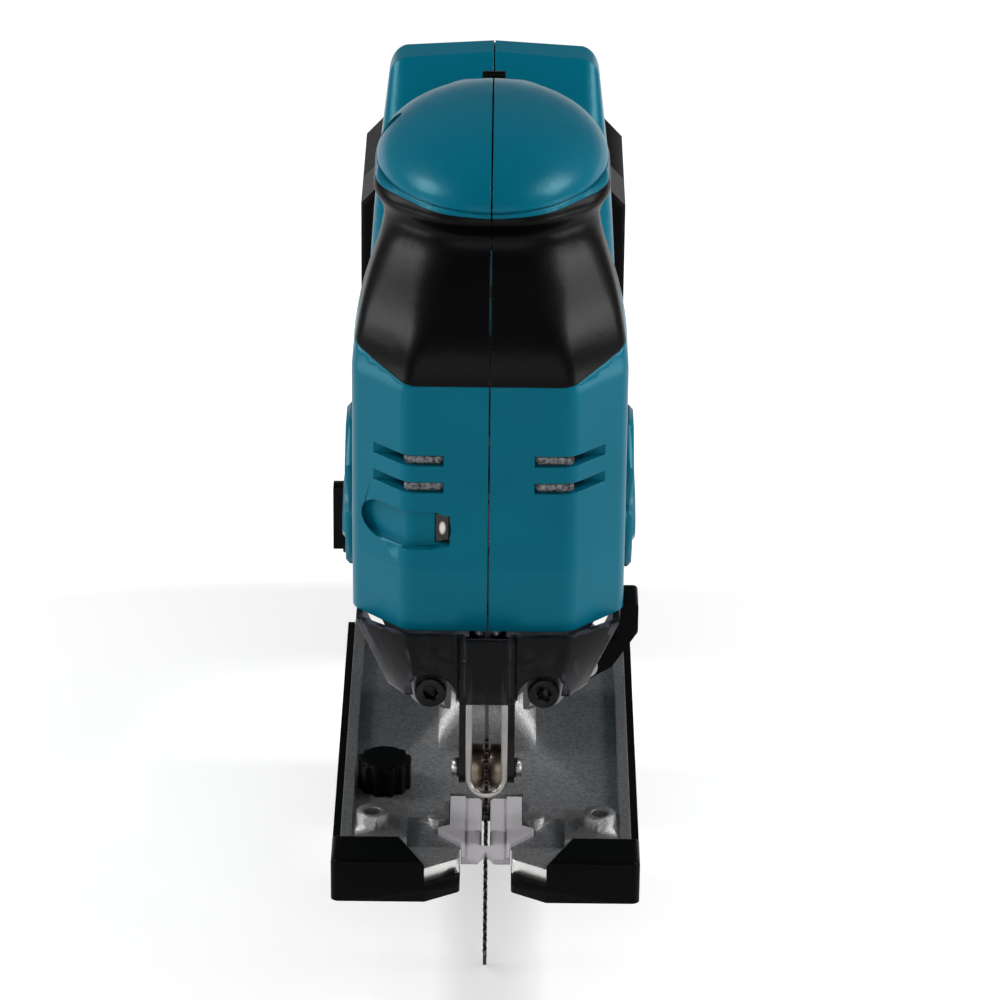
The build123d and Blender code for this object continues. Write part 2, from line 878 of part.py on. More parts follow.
with BuildPart() as blade_clamp:
    with BuildSketch(Plane.XY.offset(clamp_bottom)):
        with Locations((0, behind(plunger_place))):
            Circle(clamp_radius)
        with Locations((0, behind((blade_front + blade_back) / 2 + 0.5))):
            Rectangle(2 * blade_half + 0.3, blade_back - blade_front - 0.7, mode=Mode.SUBTRACT)
    extrude(amount=shank_top - clamp_bottom + 0.2)
    with BuildSketch(Plane.XY.offset(shank_top + 0.2)):
        with Locations((0, behind(plunger_place))):
            Circle(clamp_radius)
    extrude(amount=clamp_top - shank_top - 0.2)
    chamfer(blade_clamp.edges().filter_by(GeomType.CIRCLE), 0.8)
save(blade_clamp.part, "blade_clamp")

with BuildPart() as blade:
    with BuildSketch(Plane.YZ):
        with BuildLine():
            points = [(behind(blade_back), blade_tip), (behind(blade_back), shank_top)]
            points += [(behind(blade_front + 1.2), shank_top), (behind(blade_front + 1.2), 38)]
            level = 36.0
            while level - tooth_pitch > blade_tip + 2:
                points.append((behind(blade_front), level))
                points.append((behind(blade_front + tooth_deep), level - tooth_pitch + 0.4))
                level = level - tooth_pitch
            points.append((behind(blade_front + 0.5), level))
            points.append((behind(blade_back - 1.5), blade_tip))
            Polyline(points, close=True)
        make_face()
    extrude(amount=blade_half, both=True)
save(blade.part, "blade")

# Blade roller and its bracket

roller_radius = 6.0
groove_radius = 5.0
roller_half = 4.3
roller_level = 22.0
roller_place = blade_back + groove_radius + 0.2
roller_pin_radius = 2.0
arm_inner = roller_half + 0.5
arm_thick = 2.2

with BuildPart() as roller:
    with BuildSketch(Plane.YZ):
        with Locations((behind(roller_place), roller_level)):
            Circle(roller_radius)
            Circle(roller_pin_radius + run_gap, mode=Mode.SUBTRACT)
    extrude(amount=roller_half, both=True)
    chamfer(roller.edges().filter_by(GeomType.CIRCLE).sort_by(SortBy.RADIUS)[-2:], 0.6)
    with BuildSketch(Plane.YZ):
        with Locations((behind(roller_place), roller_level)):
            Circle(roller_radius + 1)
            Circle(groove_radius, mode=Mode.SUBTRACT)
    extrude(amount=0.95, both=True, mode=Mode.SUBTRACT)
save(roller.part, "blade_roller")

with BuildPart() as holder:
    with BuildSketch(Plane.YZ) as arm:
        with Locations((behind(holder_pivot_place), holder_pivot_level)):
            Circle(4.8)
        with Locations((behind(roller_place), roller_level)):
            Circle(4.0)
        make_hull()
    extrude(amount=arm_inner + arm_thick, both=True)
    with BuildSketch(Plane.YZ):
        with Locations((behind(30), 30)):
            Rectangle(40, 100)
    extrude(amount=arm_inner, both=True, mode=Mode.SUBTRACT)
    with Locations((0, behind(37.6), 47)):
        Box(2 * (arm_inner + arm_thick), 3.2, 13)
    with BuildSketch(Plane.YZ):
        with Locations((behind(holder_pivot_place), holder_pivot_level)):
            Circle(holder_pin + run_gap)
        with Locations((behind(roller_place), roller_level)):
            Circle(roller_pin_radius + 0.01)
    extrude(amount=20, both=True, mode=Mode.SUBTRACT)
save(holder.part, "roller_bracket")

with BuildPart() as roller_pin:
    with BuildSketch(Plane.YZ):
        with Locations((behind(roller_place), roller_level)):
            Circle(roller_pin_radius)
    extrude(amount=arm_inner + arm_thick, both=True)
    for side in (-1, 1):
        with BuildSketch(Plane.YZ.offset(side * (arm_inner + arm_thick))):
            with Locations((behind(roller_place), roller_level)):
                Circle(2.5)
        extrude(amount=side * 1.8)
save(roller_pin.part, "roller_pin")

with BuildPart() as pivot_pin:
    with BuildSketch(Plane.YZ):
        with Locations((behind(holder_pivot_place), holder_pivot_level)):
            Circle(holder_pin)
    extrude(amount=13.8, both=True)
save(pivot_pin.part, "bracket_pin")

# Guard wire, nose screws, lever

with BuildPart() as wire:
    with BuildLine() as path:
        FilletPolyline(
            (-wire_anchor, behind(snout_front + 4.5), 62),
            (-wire_anchor, behind(wire_place), 62),
            (-wire_half, behind(wire_place), 60),
            (-wire_half, behind(wire_place), wire_bottom),
            (wire_half, behind(wire_place), wire_bottom),
            (wire_half, behind(wire_place), 60),
            (wire_anchor, behind(wire_place), 62),
            (wire_anchor, behind(snout_front + 4.5), 62),
            radius=[2.2, 2.2, wire_half - 0.1, wire_half - 0.1, 2.2, 2.2],
        )
    with BuildSketch(Plane(origin=path.line @ 0, z_dir=path.line % 0)):
        Circle(wire_radius)
    sweep()
save(wire.part, "guard_wire")

with BuildPart() as nose_screws:
    for side in (-1, 1):
        with BuildSketch(Plane.XZ.offset(-behind(snout_front - 3.6))):
            with Locations((side * boss_x, boss_level)):
                Circle(4.0)
        extrude(amount=-3.6)
        with BuildSketch(Plane.XZ.offset(-behind(snout_front))):
            with Locations((side * boss_x, boss_level)):
                Circle(2)
        extrude(amount=-11)
        with BuildSketch(Plane.XZ.offset(-behind(snout_front - 3.6))):
            with Locations((side * boss_x, boss_level)):
                RegularPolygon(1.75, 6, major_radius=False)
        extrude(amount=-2.2, mode=Mode.SUBTRACT)
    rims = nose_screws.edges().filter_by(GeomType.CIRCLE).sort_by(Axis.Y)[:2]
    chamfer(rims, 0.5)
save(nose_screws.part, "nose_screws")

lever_front = 28.0
lever_back = 38.6

with BuildPart() as lever:
    with BuildSketch(Plane.XZ.offset(-behind(lever_front))):
        with BuildLine():
            FilletPolyline(
                (lever_x + 1.5, lever_level - 3.6),
                (lever_x + 6.5, lever_level - 0.6),
                (37.4, 61.8),
                (37.4, 69.6),
                (33.0, 69.6),
                (32.6, 60.5),
                (lever_x + 4.0, lever_level + 5.2),
                (lever_x - 2.0, lever_level + 3.4),
                radius=1.2,
                close=True,
            )
        make_face()
        with Locations((lever_x, lever_level)):
            Circle(4)
            Circle(lever_pin + run_gap, mode=Mode.SUBTRACT)
    extrude(amount=-(lever_back - lever_front))
save(lever.part, "blade_release_lever")

with BuildPart() as lever_rod:
    with BuildSketch(Plane.XZ.offset(-behind(lever_front - 1.4))):
        with Locations((lever_x, lever_level)):
            Circle(lever_pin + 1)
    extrude(amount=-1.2)
    with BuildSketch(Plane.XZ.offset(-behind(lever_front - 0.3))):
        with Locations((lever_x, lever_level)):
            Circle(lever_pin)
    extrude(amount=-(44 - lever_front + 0.2))
save(lever_rod.part, "lever_pin")

# Smoked dust cover

cover_top = head_bottom - 0.1
cover_bottom = 52.0
cover_wall = 1.6


def cover_outline(level_share, inset):
    """Half plan of the cover from the middle to the wing, at a share of its height."""
    reach = 24.5 + 8.0 * level_share - inset
    nose = 6.4 - 0.9 * level_share + inset
    panel = 9.0 - 0.9 * level_share + inset
    side = 18.4 + 2.0 * level_share - 0.5 * inset
    block = 6.6 - inset
    step = 7.4 - inset
    return [(block, nose), (step, panel), (side, panel), (reach, panel + 9), (reach, 26.0)]


with BuildPart() as dust_cover:
    for level, share in ((cover_bottom, 0), (cover_top, 1)):
        half = cover_outline(share, 0)
        loop = [(x, behind(y)) for x, y in half]
        loop += [(-x, behind(y)) for x, y in reversed(half)]
        with BuildSketch(Plane.XY.offset(level)):
            with BuildLine():
                Polyline(loop, close=True)
            make_face()
    loft(ruled=True)
    for level, share in ((cover_bottom - 1, -1 / 17.4), (cover_top + 1, 1 + 1 / 17.4)):
        half = cover_outline(share, cover_wall)
        half[-1] = (half[-1][0], half[-1][1] + 3)
        loop = [(x, behind(y)) for x, y in half]
        loop += [(-x, behind(y)) for x, y in reversed(half)]
        with BuildSketch(Plane.XY.offset(level)):
            with BuildLine():
                Polyline(loop, close=True)
            make_face()
    loft(ruled=True, mode=Mode.SUBTRACT)
    for side in (-1, 1):
        with BuildSketch(Plane.XZ.offset(-behind(0))):
            with Locations((side * boss_x, boss_level + 0.5)):
                Circle(6.4)
        extrude(amount=-11.6, mode=Mode.SUBTRACT)
save(dust_cover.part, "dust_cover")

# Base

half_plate = base_width / 2 - 1.9
plate_top = sole_thick + plate_thick
ridge_inner = ridge_radius - 4.0
ridge_half = 12.7
ridge_spans = ((70.0, 84.0), (94.0, 104.0))
ridge_wall = 4.0
gap_half = 6.5
ear_half = 12.4
tail_half = 9.4
prong_front = 8.0
prong_top = 8.0
prong_soft = 1.5
notch = [
    (gap_half, prong_front),
    (gap_half, 17.3),
    (ear_half, 23.5),
    (ear_half, 25.0),
    (tail_half, 26.6),
    (tail_half, 46.0),
]
plate_edge = [
    (gap_half, prong_front),
    (14.7, 3.0),
    (16.5, 2.2),
    (half_plate, 2.2),
    (half_plate, base_length - 2.0),
]
prong_outline = [(gap_half, prong_front), (14.7, 3.0), (16.5, 2.2), (22.0, 13.6), (gap_half, 13.6)]
block_outline = [(18.0, 2.2), (half_plate, 2.2), (half_plate, 13.6), (23.2, 13.6)]
nub_x = 12.6
nub_place = 30.0
nub_radius = 2.2
nub_top = 8.0
guide_x = 28.7
guide_place = 25.0
guide_hole = 2.1
guide_boss = 4.05
guide_top = 12.0
guide_slot_low = 3.4
guide_slot_high = 7.0
guide_slot_half = 5.4
knob_x = -26.4
knob_place = 50.0
knob_radius = 7.0
knob_stud = 2.4


def one_side(side, points):
    """An outline on one side of the tool, from distances behind the nose edge."""
    return [(side * x, behind(y)) for x, y in points]


def both_sides(points):
    """Closed loop from a right-hand half outline."""
    return one_side(1, points) + one_side(-1, reversed(points))


with BuildPart() as base_plate:
    with BuildSketch(Plane.XY.offset(sole_thick)):
        with BuildLine():
            Polyline(both_sides(list(reversed(notch)) + plate_edge[1:]), close=True)
        make_face()
    extrude(amount=plate_thick)
    for side in (-1, 1):
        # Prong and block under the cap
        with BuildSketch(Plane.XY.offset(plate_top - 0.5)):
            with BuildLine():
                Polyline(one_side(side, prong_outline), close=True)
            make_face()
        extrude(amount=prong_top - plate_top + 0.5)
        with BuildSketch(Plane.XY.offset(plate_top - 0.5)):
            with BuildLine():
                Polyline(one_side(side, block_outline), close=True)
            make_face()
        extrude(amount=4.2)
        # Side rail
        with Locations((side * (half_plate - 1.4), behind((13 + base_length - 2) / 2), plate_top + 1.5)):
            Box(2.8, base_length - 2 - 13, 4)
        # Guide-rule pad and boss
        with Locations((side * (20 + half_plate - 2.8) / 2, behind(guide_place), plate_top + 1)):
            Box(half_plate - 2.8 - 20 + 0.2, 16, 3.4)
        with BuildSketch(Plane.XY.offset(plate_top)):
            with Locations((side * guide_x, behind(guide_place))):
                Circle(guide_boss)
        extrude(amount=guide_top - plate_top)
        # Nub beside the insert
        with BuildSketch(Plane.XY.offset(plate_top - 0.5)):
            with Locations((side * nub_x, behind(nub_place))):
                Circle(nub_radius)
        extrude(amount=nub_top - plate_top + 0.5)
    tips = base_plate.edges().filter_by(Axis.Z).filter_by_position(Axis.Y, behind(7.9), behind(8.1))
    fillet(tips, prong_soft)
    for low, high in ridge_spans:
        with BuildSketch(Plane.XZ.offset(-behind(low))):
            with Locations((0, bevel_level)):
                Circle(ridge_radius)
            with Locations((0, plate_top + 20 - 0.5)):
                Rectangle(2 * ridge_half, 40, mode=Mode.INTERSECT)
        extrude(amount=-(high - low))
    hollow_front = ridge_spans[0][0] + ridge_wall
    with BuildSketch(Plane.XZ.offset(-behind(hollow_front))):
        with Locations((0, bevel_level)):
            Circle(ridge_inner)
    extrude(amount=-(ridge_spans[1][1] - hollow_front), mode=Mode.SUBTRACT)
    for side in (-1, 1):
        with Locations((side * 35, behind(guide_place), (guide_slot_low + guide_slot_high) / 2)):
            Box(30, 2 * guide_slot_half, guide_slot_high - guide_slot_low, mode=Mode.SUBTRACT)
        with BuildSketch(Plane.XY.offset(guide_slot_high - 0.5)):
            with Locations((side * guide_x, behind(guide_place))):
                Circle(guide_hole)
        extrude(amount=20, mode=Mode.SUBTRACT)
    with BuildSketch(Plane.XY.offset(0)):
        with Locations((knob_x, behind(knob_place))):
            Circle(knob_stud + run_gap)
    extrude(amount=20, mode=Mode.SUBTRACT)
save(base_plate.part, "base_plate")

cover_half = base_width / 2
cap_top = 11.4
cap_soft = 1.4
cap_corner = 2.0
cap_outline = [(15.2, 0.0), (cover_half, 0.0), (cover_half, 13.8), (21.5, 13.8)]
lip_front = 5.3
lip_top = 4.2
lip_outline = [
    (6.4, lip_front),
    (15.2, 0.0),
    (16.5, 0.0),
    (16.5, 2.0),
    (15.2, 2.0),
    (15.2, 2.5),
    (14.6, 2.9),
    (6.4, 7.85),
]
blade_room = 7.7
sole_slot = [(4.4, 42.0), (4.4, 27.2), (blade_room, 26.6), (blade_room, 16.6), (6.4, 15.0)]

with BuildPart() as sole_cover:
    with BuildSketch():
        with BuildLine():
            rim = [(6.4, lip_front), (15.2, 0), (cover_half, 0), (cover_half, base_length)]
            Polyline(both_sides(sole_slot + rim), close=True)
        make_face()
        with Locations((0, behind(89))):
            Rectangle(20, 30, mode=Mode.SUBTRACT)
    extrude(amount=sole_thick)
    for side in (-1, 1):
        with BuildSketch(Plane.XY):
            with BuildLine():
                Polyline(one_side(side, lip_outline), close=True)
            make_face()
        extrude(amount=lip_top)
        with BuildSketch(Plane.XY):
            with BuildLine():
                Polyline(one_side(side, cap_outline), close=True)
            make_face()
        extrude(amount=cap_top)
    corners = sole_cover.edges().filter_by(Axis.Z).filter_by_position(Axis.Y, behind(-0.1), behind(0.1))
    fillet(corners.group_by(SortBy.LENGTH)[-1], cap_corner)
    rims = sole_cover.faces().sort_by(Axis.Z).filter_by(Axis.Z)[-2:].edges()
    fillet(rims, cap_soft)
    tips = sole_cover.edges().filter_by(Axis.Z).filter_by_position(Axis.Y, behind(5.2), behind(5.4))
    fillet(tips, prong_soft)
    for side in (-1, 1):
        with Locations((side * (cover_half + half_plate + 0.1) / 2, 0, 4.5)):
            Box(cover_half - half_plate - 0.1, base_length - 2 * cap_corner, 9)
        with Locations((side * (half_plate + 0.1 - 20), behind(2.1 + 10), (sole_thick + 9.8) / 2)):
            Box(40, 20, 9.8 - sole_thick, mode=Mode.SUBTRACT)
        with BuildSketch(Plane.XY.offset(sole_thick)):
            with BuildLine():
                Polyline(one_side(side, lip_outline), close=True)
            make_face()
        extrude(amount=lip_top - sole_thick)
    with Locations((0, base_length / 2 - 0.95, 3.5)):
        Box(base_width, 1.9, 7)
    for side in (-1, 1):
        with Locations((side * 38, behind(guide_place), (guide_slot_low + guide_slot_high) / 2)):
            Box(8, 2 * guide_slot_half, guide_slot_high - guide_slot_low, mode=Mode.SUBTRACT)
save(sole_cover.part, "sole_cover")

insert_top = 7.5
insert_gap = 0.25
panel_top = insert_top - 0.6
panel_thick = 2 * (panel_top - bevel_level)
panel_bottom = panel_top - panel_thick
strip_inner = 5.2
insert_front = 9.5
insert_back = 41.5
slot_front = 16.6
slot_narrow = 1.05
slot_wide = slot_narrow + panel_thick / 2 + 0.05
insert_outline = [
    (gap_half - insert_gap, insert_front),
    (gap_half - insert_gap, 17.4),
    (ear_half - insert_gap, 23.6),
    (ear_half - insert_gap, 24.8),
    (tail_half - insert_gap, 26.4),
    (tail_half - insert_gap, insert_back),
]

with BuildPart() as insert:
    with BuildSketch(Plane.XY.offset(panel_bottom)):
        with BuildLine():
            Polyline(both_sides(insert_outline), close=True)
        make_face()
        with BuildLine():
            Polyline((-2.6, behind(8.4)), (2.6, behind(8.4)), (0, behind(13.6)), close=True)
        make_face(mode=Mode.SUBTRACT)
    extrude(amount=insert_top - panel_bottom)
    # Lower panel between the raised strips
    with Locations((0, 0, insert_top)):
        Box(2 * strip_inner, base_length, 2 * (insert_top - panel_top), mode=Mode.SUBTRACT)
    # Feet on the sole cover
    for side in (-1, 1):
        with Locations((side * (strip_inner + 0.4 + tail_half - insert_gap) / 2, behind(34.6), 4)):
            Box(tail_half - insert_gap - strip_inner - 0.4, 13.8, 2 * (4 - sole_thick))
    # Blade slot, wider above and below so that the base can tilt about the blade
    with BuildSketch(Plane.XZ.offset(-behind(slot_front))):
        with BuildLine():
            Polyline(
                (-slot_wide, panel_bottom),
                (slot_wide, panel_bottom),
                (slot_narrow, bevel_level),
                (slot_wide, panel_top),
                (-slot_wide, panel_top),
                (-slot_narrow, bevel_level),
                close=True,
            )
        make_face()
    extrude(amount=-40, mode=Mode.SUBTRACT)
save(insert.part, "anti_splinter_insert")

with BuildPart() as clamp_plate:
    with BuildSketch(Plane.XZ.offset(-behind(75))):
        with Locations((0, bevel_level)):
            Circle(ridge_inner - 0.2)
            Circle(ridge_inner - 3.4, mode=Mode.SUBTRACT)
        with Locations((0, bevel_level + 10)):
            Rectangle(7.6, 20, mode=Mode.INTERSECT)
    extrude(amount=-28)
    with BuildSketch():
        with Locations((0, behind(bolt_place))):
            Circle(bolt_radius + 0.2)
    extrude(amount=30, mode=Mode.SUBTRACT)
save(clamp_plate.part, "bevel_clamp_plate")

bolt_seat = bevel_level + sqrt((ridge_inner - 3.4) ** 2 - 3.8**2) - 0.05

with BuildPart() as bevel_bolt:
    with BuildSketch(Plane.XY.offset(bolt_seat)):
        with Locations((0, behind(bolt_place))):
            Circle(bolt_radius)
    extrude(amount=33.5 - bolt_seat)
    with BuildSketch(Plane.XY.offset(bolt_seat - 3.0)):
        with Locations((0, behind(bolt_place))):
            RegularPolygon(3.8, 6, major_radius=False)
    extrude(amount=3.0)
save(bevel_bolt.part, "bevel_bolt")

with BuildPart() as guide_knob:
    with BuildSketch(Plane.XY.offset(plate_top + 0.05)):
        with Locations((knob_x, behind(knob_place))):
            Circle(knob_radius)
            with PolarLocations(knob_radius + 0.5, 12):
                Circle(1.3, mode=Mode.SUBTRACT)
    extrude(amount=7.5)
    with BuildSketch(Plane.XY.offset(plate_top + 7.5)):
        with Locations((knob_x, behind(knob_place))):
            Circle(knob_radius - 1.2)
    extrude(amount=0.7)
    with BuildSketch(Plane.XY.offset(sole_thick + 0.1)):
        with Locations((knob_x, behind(knob_place))):
            Circle(knob_stud)
    extrude(amount=plate_thick)
save(guide_knob.part, "guide_knob")

# Nose trim: felts, lamp

with BuildPart() as felts:
    for side in (-1, 1):
        with Locations((side * 13.7, behind(head_nose + wall + 1.1), 113.5)):
            Box(7.6, 2, 14)
save(felts.part, "vent_felts")

with BuildPart() as lens:
    with Locations((lamp_x, behind(head_nose + 3.6), lamp_level)):
        Box(lamp_wide, 3.6, lamp_high)
save(lens.part, "lamp_lens")

with BuildPart() as lamp_board:
    with Locations((lamp_x, behind(head_nose + 3.6 + 1.8 + 0.8), lamp_level)):
        Box(7, 1.6, 12)
save(lamp_board.part, "lamp_board")

with BuildPart() as orbit_knob:
    with BuildSketch(Plane.YZ.offset(orbit_face - 0.1)):
        with Locations((behind(orbit_place), orbit_level)):
            Circle(orbit_radius)
    extrude(amount=-2.4)
    with BuildSketch(Plane.YZ.offset(orbit_face - 2.5)):
        with Locations((behind(orbit_place), orbit_level)):
            Circle(orbit_radius - 0.8)
            Rectangle(30, 5.4, rotation=90, mode=Mode.INTERSECT)
    extrude(amount=-2.6)
    with BuildSketch(Plane.YZ.offset(orbit_face - 0.1)):
        with Locations((behind(orbit_place), orbit_level)):
            Circle(3)
    extrude(amount=9)
save(orbit_knob.part, "orbit_selector")

# Handle controls

with BuildPart() as trigger:
    with BuildSketch(Plane.YZ):
        with BuildLine():
            Line((behind(trigger_front), 154.8), (behind(trigger_back), 154.8))
            Line((behind(trigger_back), 154.8), (behind(trigger_back), 140.5))
            ThreePointArc(
                (behind(trigger_back), 140.5),
                (behind(trigger_back - 9), 141.8),
                (behind(trigger_front + 1), 137.0),
            )
            Line((behind(trigger_front + 1), 137.0), (behind(trigger_front), 154.8))
        make_face()
    extrude(amount=trigger_half, both=True)
save(trigger.part, "trigger")

with BuildPart() as switch:
    with Locations((0, behind(101), 166.0)):
        Box(18, 24, 10.6)
    with Locations((0, behind(101), 162.6)):
        Box(2 * (handle_half - wall - free_gap), 10, 4.6)
save(switch.part, "switch")

with BuildPart() as lock_button:
    with BuildSketch(Plane.YZ.offset(-handle_half + 0.6)):
        with Locations((behind(lock_place), lock_level)):
            Circle(lock_radius)
    extrude(amount=2 * handle_half - 0.6 + 3)
    chamfer(lock_button.edges().filter_by(GeomType.CIRCLE), 0.5)
save(lock_button.part, "lock_off_button")

with BuildPart() as dial:
    with BuildSketch(Plane.YZ):
        with Locations((behind(dial_place), dial_level)):
            Circle(dial_radius)
            with PolarLocations(dial_radius + 0.3, 20):
                Circle(0.8, mode=Mode.SUBTRACT)
    extrude(amount=dial_half, both=True)
    with BuildSketch(Plane.YZ):
        with Locations((behind(dial_place), dial_level)):
            Circle(dial_axle)
    extrude(amount=8, both=True)
save(dial.part, "speed_dial")

with BuildPart() as board:
    with Locations((0, behind(board_place + board_thick / 2), motor_level)):
        Box(44, board_thick, 44)
save(board.part, "controller_board")

with BuildPart() as terminals:
    with Locations((0, behind(rail_front - 0.2 - 4.5), terminal_level)):
        Box(30, 9, 26)
    for x in (-9, 9):
        with Locations((x, behind(rail_front + 1.7), terminal_level + 1)):
            Box(0.8, 4.2, 18)
save(terminals.part, "battery_terminals")

with BuildPart() as housing_screws:
    for place, level in screw_places:
        with BuildSketch(Plane.YZ.offset(screw_seat)):
            with Locations((behind(place), level)):
                Circle(screw_radius)
        extrude(amount=screw_reach - screw_seat)
        with BuildSketch(Plane.YZ.offset(screw_seat)):
            with Locations((behind(place), level)):
                Circle(screw_head)
                RegularPolygon(1.4, 6, mode=Mode.SUBTRACT)
        extrude(amount=-2.4)
save(housing_screws.part, "housing_screws")

# Battery pack

pack_front = 190.0
pack_back = 250.0
pack_split = 212.0
pack_half = 36.4
pack_bottom = 12.0
pack_top = 120.0
pack_wall = 2.6
cell_radius = 9.1
cell_half = 31.9
button_half = 12.0

pack_outline = [
    (28.0, pack_top),
    (pack_half, pack_top - 9),
    (pack_half, 82.0),
    (pack_half - 1.6, 78.0),
    (pack_half - 0.4, 62.0),
    (pack_half - 0.4, pack_bottom + 4),
    (pack_half - 3, pack_bottom),
]


def pack_loop(inset):
    half = []
    for x, z in pack_outline:
        low = pack_bottom + inset
        high = pack_top - inset
        half.append((x - inset, min(max(z, low), high)))
    return half + [(-x, z) for x, z in reversed(half)]


with BuildPart() as pack_room:
    with BuildSketch(Plane.XZ.offset(-behind(pack_front + pack_wall))):
        with BuildLine():
            Polyline(pack_loop(pack_wall), close=True)
        make_face()
    extrude(amount=-(pack_back - pack_front - 2 * pack_wall))

with BuildPart() as pack_front_case:
    with BuildSketch(Plane.XZ.offset(-behind(pack_front))):
        with BuildLine():
            Polyline(pack_loop(0), close=True)
        make_face()
    extrude(amount=-(pack_split - pack_front - 0.15))
    chamfer(pack_front_case.faces().sort_by(Axis.Y)[0].edges(), 2)
    add(pack_room.part, mode=Mode.SUBTRACT)
    tongue = rail_top - 2 - 64 / 2
    with Locations((0, behind((rail_lip + pack_front) / 2 - 0.1), tongue)):
        Box(2 * (rail_neck - 0.4), pack_front - rail_lip + 1.4, 64)
    with Locations((0, behind((rail_front + rail_lip) / 2), tongue)):
        Box(2 * (rail_half - 0.4), rail_lip - rail_front - 0.8, 64)
    for x in (-9, 9):
        with Locations((x, behind(rail_front + 2), terminal_level + 6)):
            Box(2.4, 6, 36, mode=Mode.SUBTRACT)
    with Locations((0, behind(pack_front), pack_bottom + 14)):
        Box(2 * (button_half + 0.3), 20, 14.6, mode=Mode.SUBTRACT)
save(pack_front_case.part, "battery_case_front")

with BuildPart() as pack_rear_case:
    with BuildSketch(Plane.XZ.offset(-behind(pack_split))):
        with BuildLine():
            Polyline(pack_loop(0), close=True)
        make_face()
    extrude(amount=-(pack_back - pack_split))
    chamfer(pack_rear_case.faces().sort_by(Axis.Y)[-1].edges(), 4)
    add(pack_room.part, mode=Mode.SUBTRACT)
save(pack_rear_case.part, "battery_case_rear")

with BuildPart() as cells:
    for row in range(2):
        for step in range(5):
            with BuildSketch(Plane.YZ):
                with Locations((behind(211.0 + 18.5 * row), pack_bottom + 4 + cell_radius + 18.5 * step)):
                    Circle(cell_radius)
            extrude(amount=cell_half, both=True)
save(cells.part, "battery_cells")

with BuildPart() as pack_button:
    with Locations((0, behind(pack_front + 1.0), pack_bottom + 14)):
        Box(2 * button_half, 8, 14)
save(pack_button.part, "battery_button")
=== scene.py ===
import json
import math

import bmesh
import bpy
from mathutils import Matrix, Vector


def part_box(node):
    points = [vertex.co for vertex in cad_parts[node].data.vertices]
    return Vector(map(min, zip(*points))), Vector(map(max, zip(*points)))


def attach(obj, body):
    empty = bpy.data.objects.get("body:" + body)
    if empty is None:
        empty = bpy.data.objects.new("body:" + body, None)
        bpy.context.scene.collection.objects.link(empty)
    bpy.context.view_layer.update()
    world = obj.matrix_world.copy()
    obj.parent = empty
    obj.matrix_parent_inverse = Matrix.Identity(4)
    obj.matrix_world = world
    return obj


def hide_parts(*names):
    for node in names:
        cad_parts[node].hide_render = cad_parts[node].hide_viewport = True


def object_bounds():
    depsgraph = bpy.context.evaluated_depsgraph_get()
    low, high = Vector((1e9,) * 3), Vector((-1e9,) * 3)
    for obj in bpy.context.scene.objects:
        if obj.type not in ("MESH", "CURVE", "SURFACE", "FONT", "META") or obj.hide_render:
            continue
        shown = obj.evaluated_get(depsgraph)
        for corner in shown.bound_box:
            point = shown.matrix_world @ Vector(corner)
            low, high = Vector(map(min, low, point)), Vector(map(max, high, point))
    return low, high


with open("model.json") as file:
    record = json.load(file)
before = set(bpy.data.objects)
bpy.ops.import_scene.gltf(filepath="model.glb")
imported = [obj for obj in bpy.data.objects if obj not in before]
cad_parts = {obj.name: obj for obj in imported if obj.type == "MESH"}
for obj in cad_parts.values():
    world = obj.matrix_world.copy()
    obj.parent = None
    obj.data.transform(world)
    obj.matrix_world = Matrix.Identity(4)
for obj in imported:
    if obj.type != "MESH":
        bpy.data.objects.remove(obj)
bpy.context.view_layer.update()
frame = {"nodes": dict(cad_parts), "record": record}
scene = bpy.context.scene


# Colours and shader nodes

def linear(code):
    """A colour written as sRGB hex, as the linear values that shaders use."""
    parts = [int(code[i:i + 2], 16) / 255 for i in (1, 3, 5)]
    return tuple(c / 12.92 if c <= 0.04045 else ((c + 0.055) / 1.055) ** 2.4 for c in parts) + (1.0,)


def node(tree, kind, inputs=None, **settings):
    """Adds one node, with its settings, fixed inputs and links."""
    made = tree.nodes.new(kind)
    for name, value in settings.items():
        setattr(made, name, value)
    for socket, value in (inputs or {}).items():
        if isinstance(value, bpy.types.NodeSocket):
            tree.links.new(value, made.inputs[socket])
        else:
            made.inputs[socket].default_value = value
    return made


def material(name):
    """An empty material, its tree, its Principled shader and the piece's own coordinates."""
    made = bpy.data.materials.new(name)
    made.use_nodes = True
    tree = made.node_tree
    tree.nodes.clear()
    shader = node(tree, "ShaderNodeBsdfPrincipled")
    node(tree, "ShaderNodeOutputMaterial", {"Surface": shader.outputs["BSDF"]})
    place = node(tree, "ShaderNodeTexCoord").outputs["Object"]
    return made, tree, shader, place


def ramp(tree, value, stops):
    """A colour ramp over a value, with stops of position and hex colour."""
    made = node(tree, "ShaderNodeValToRGB", {"Fac": value})
    band = made.color_ramp
    while len(band.elements) < len(stops):
        band.elements.new(0.5)
    for element, (position, code) in zip(band.elements, stops):
        element.position = position
        element.color = linear(code)
    return made.outputs["Color"]


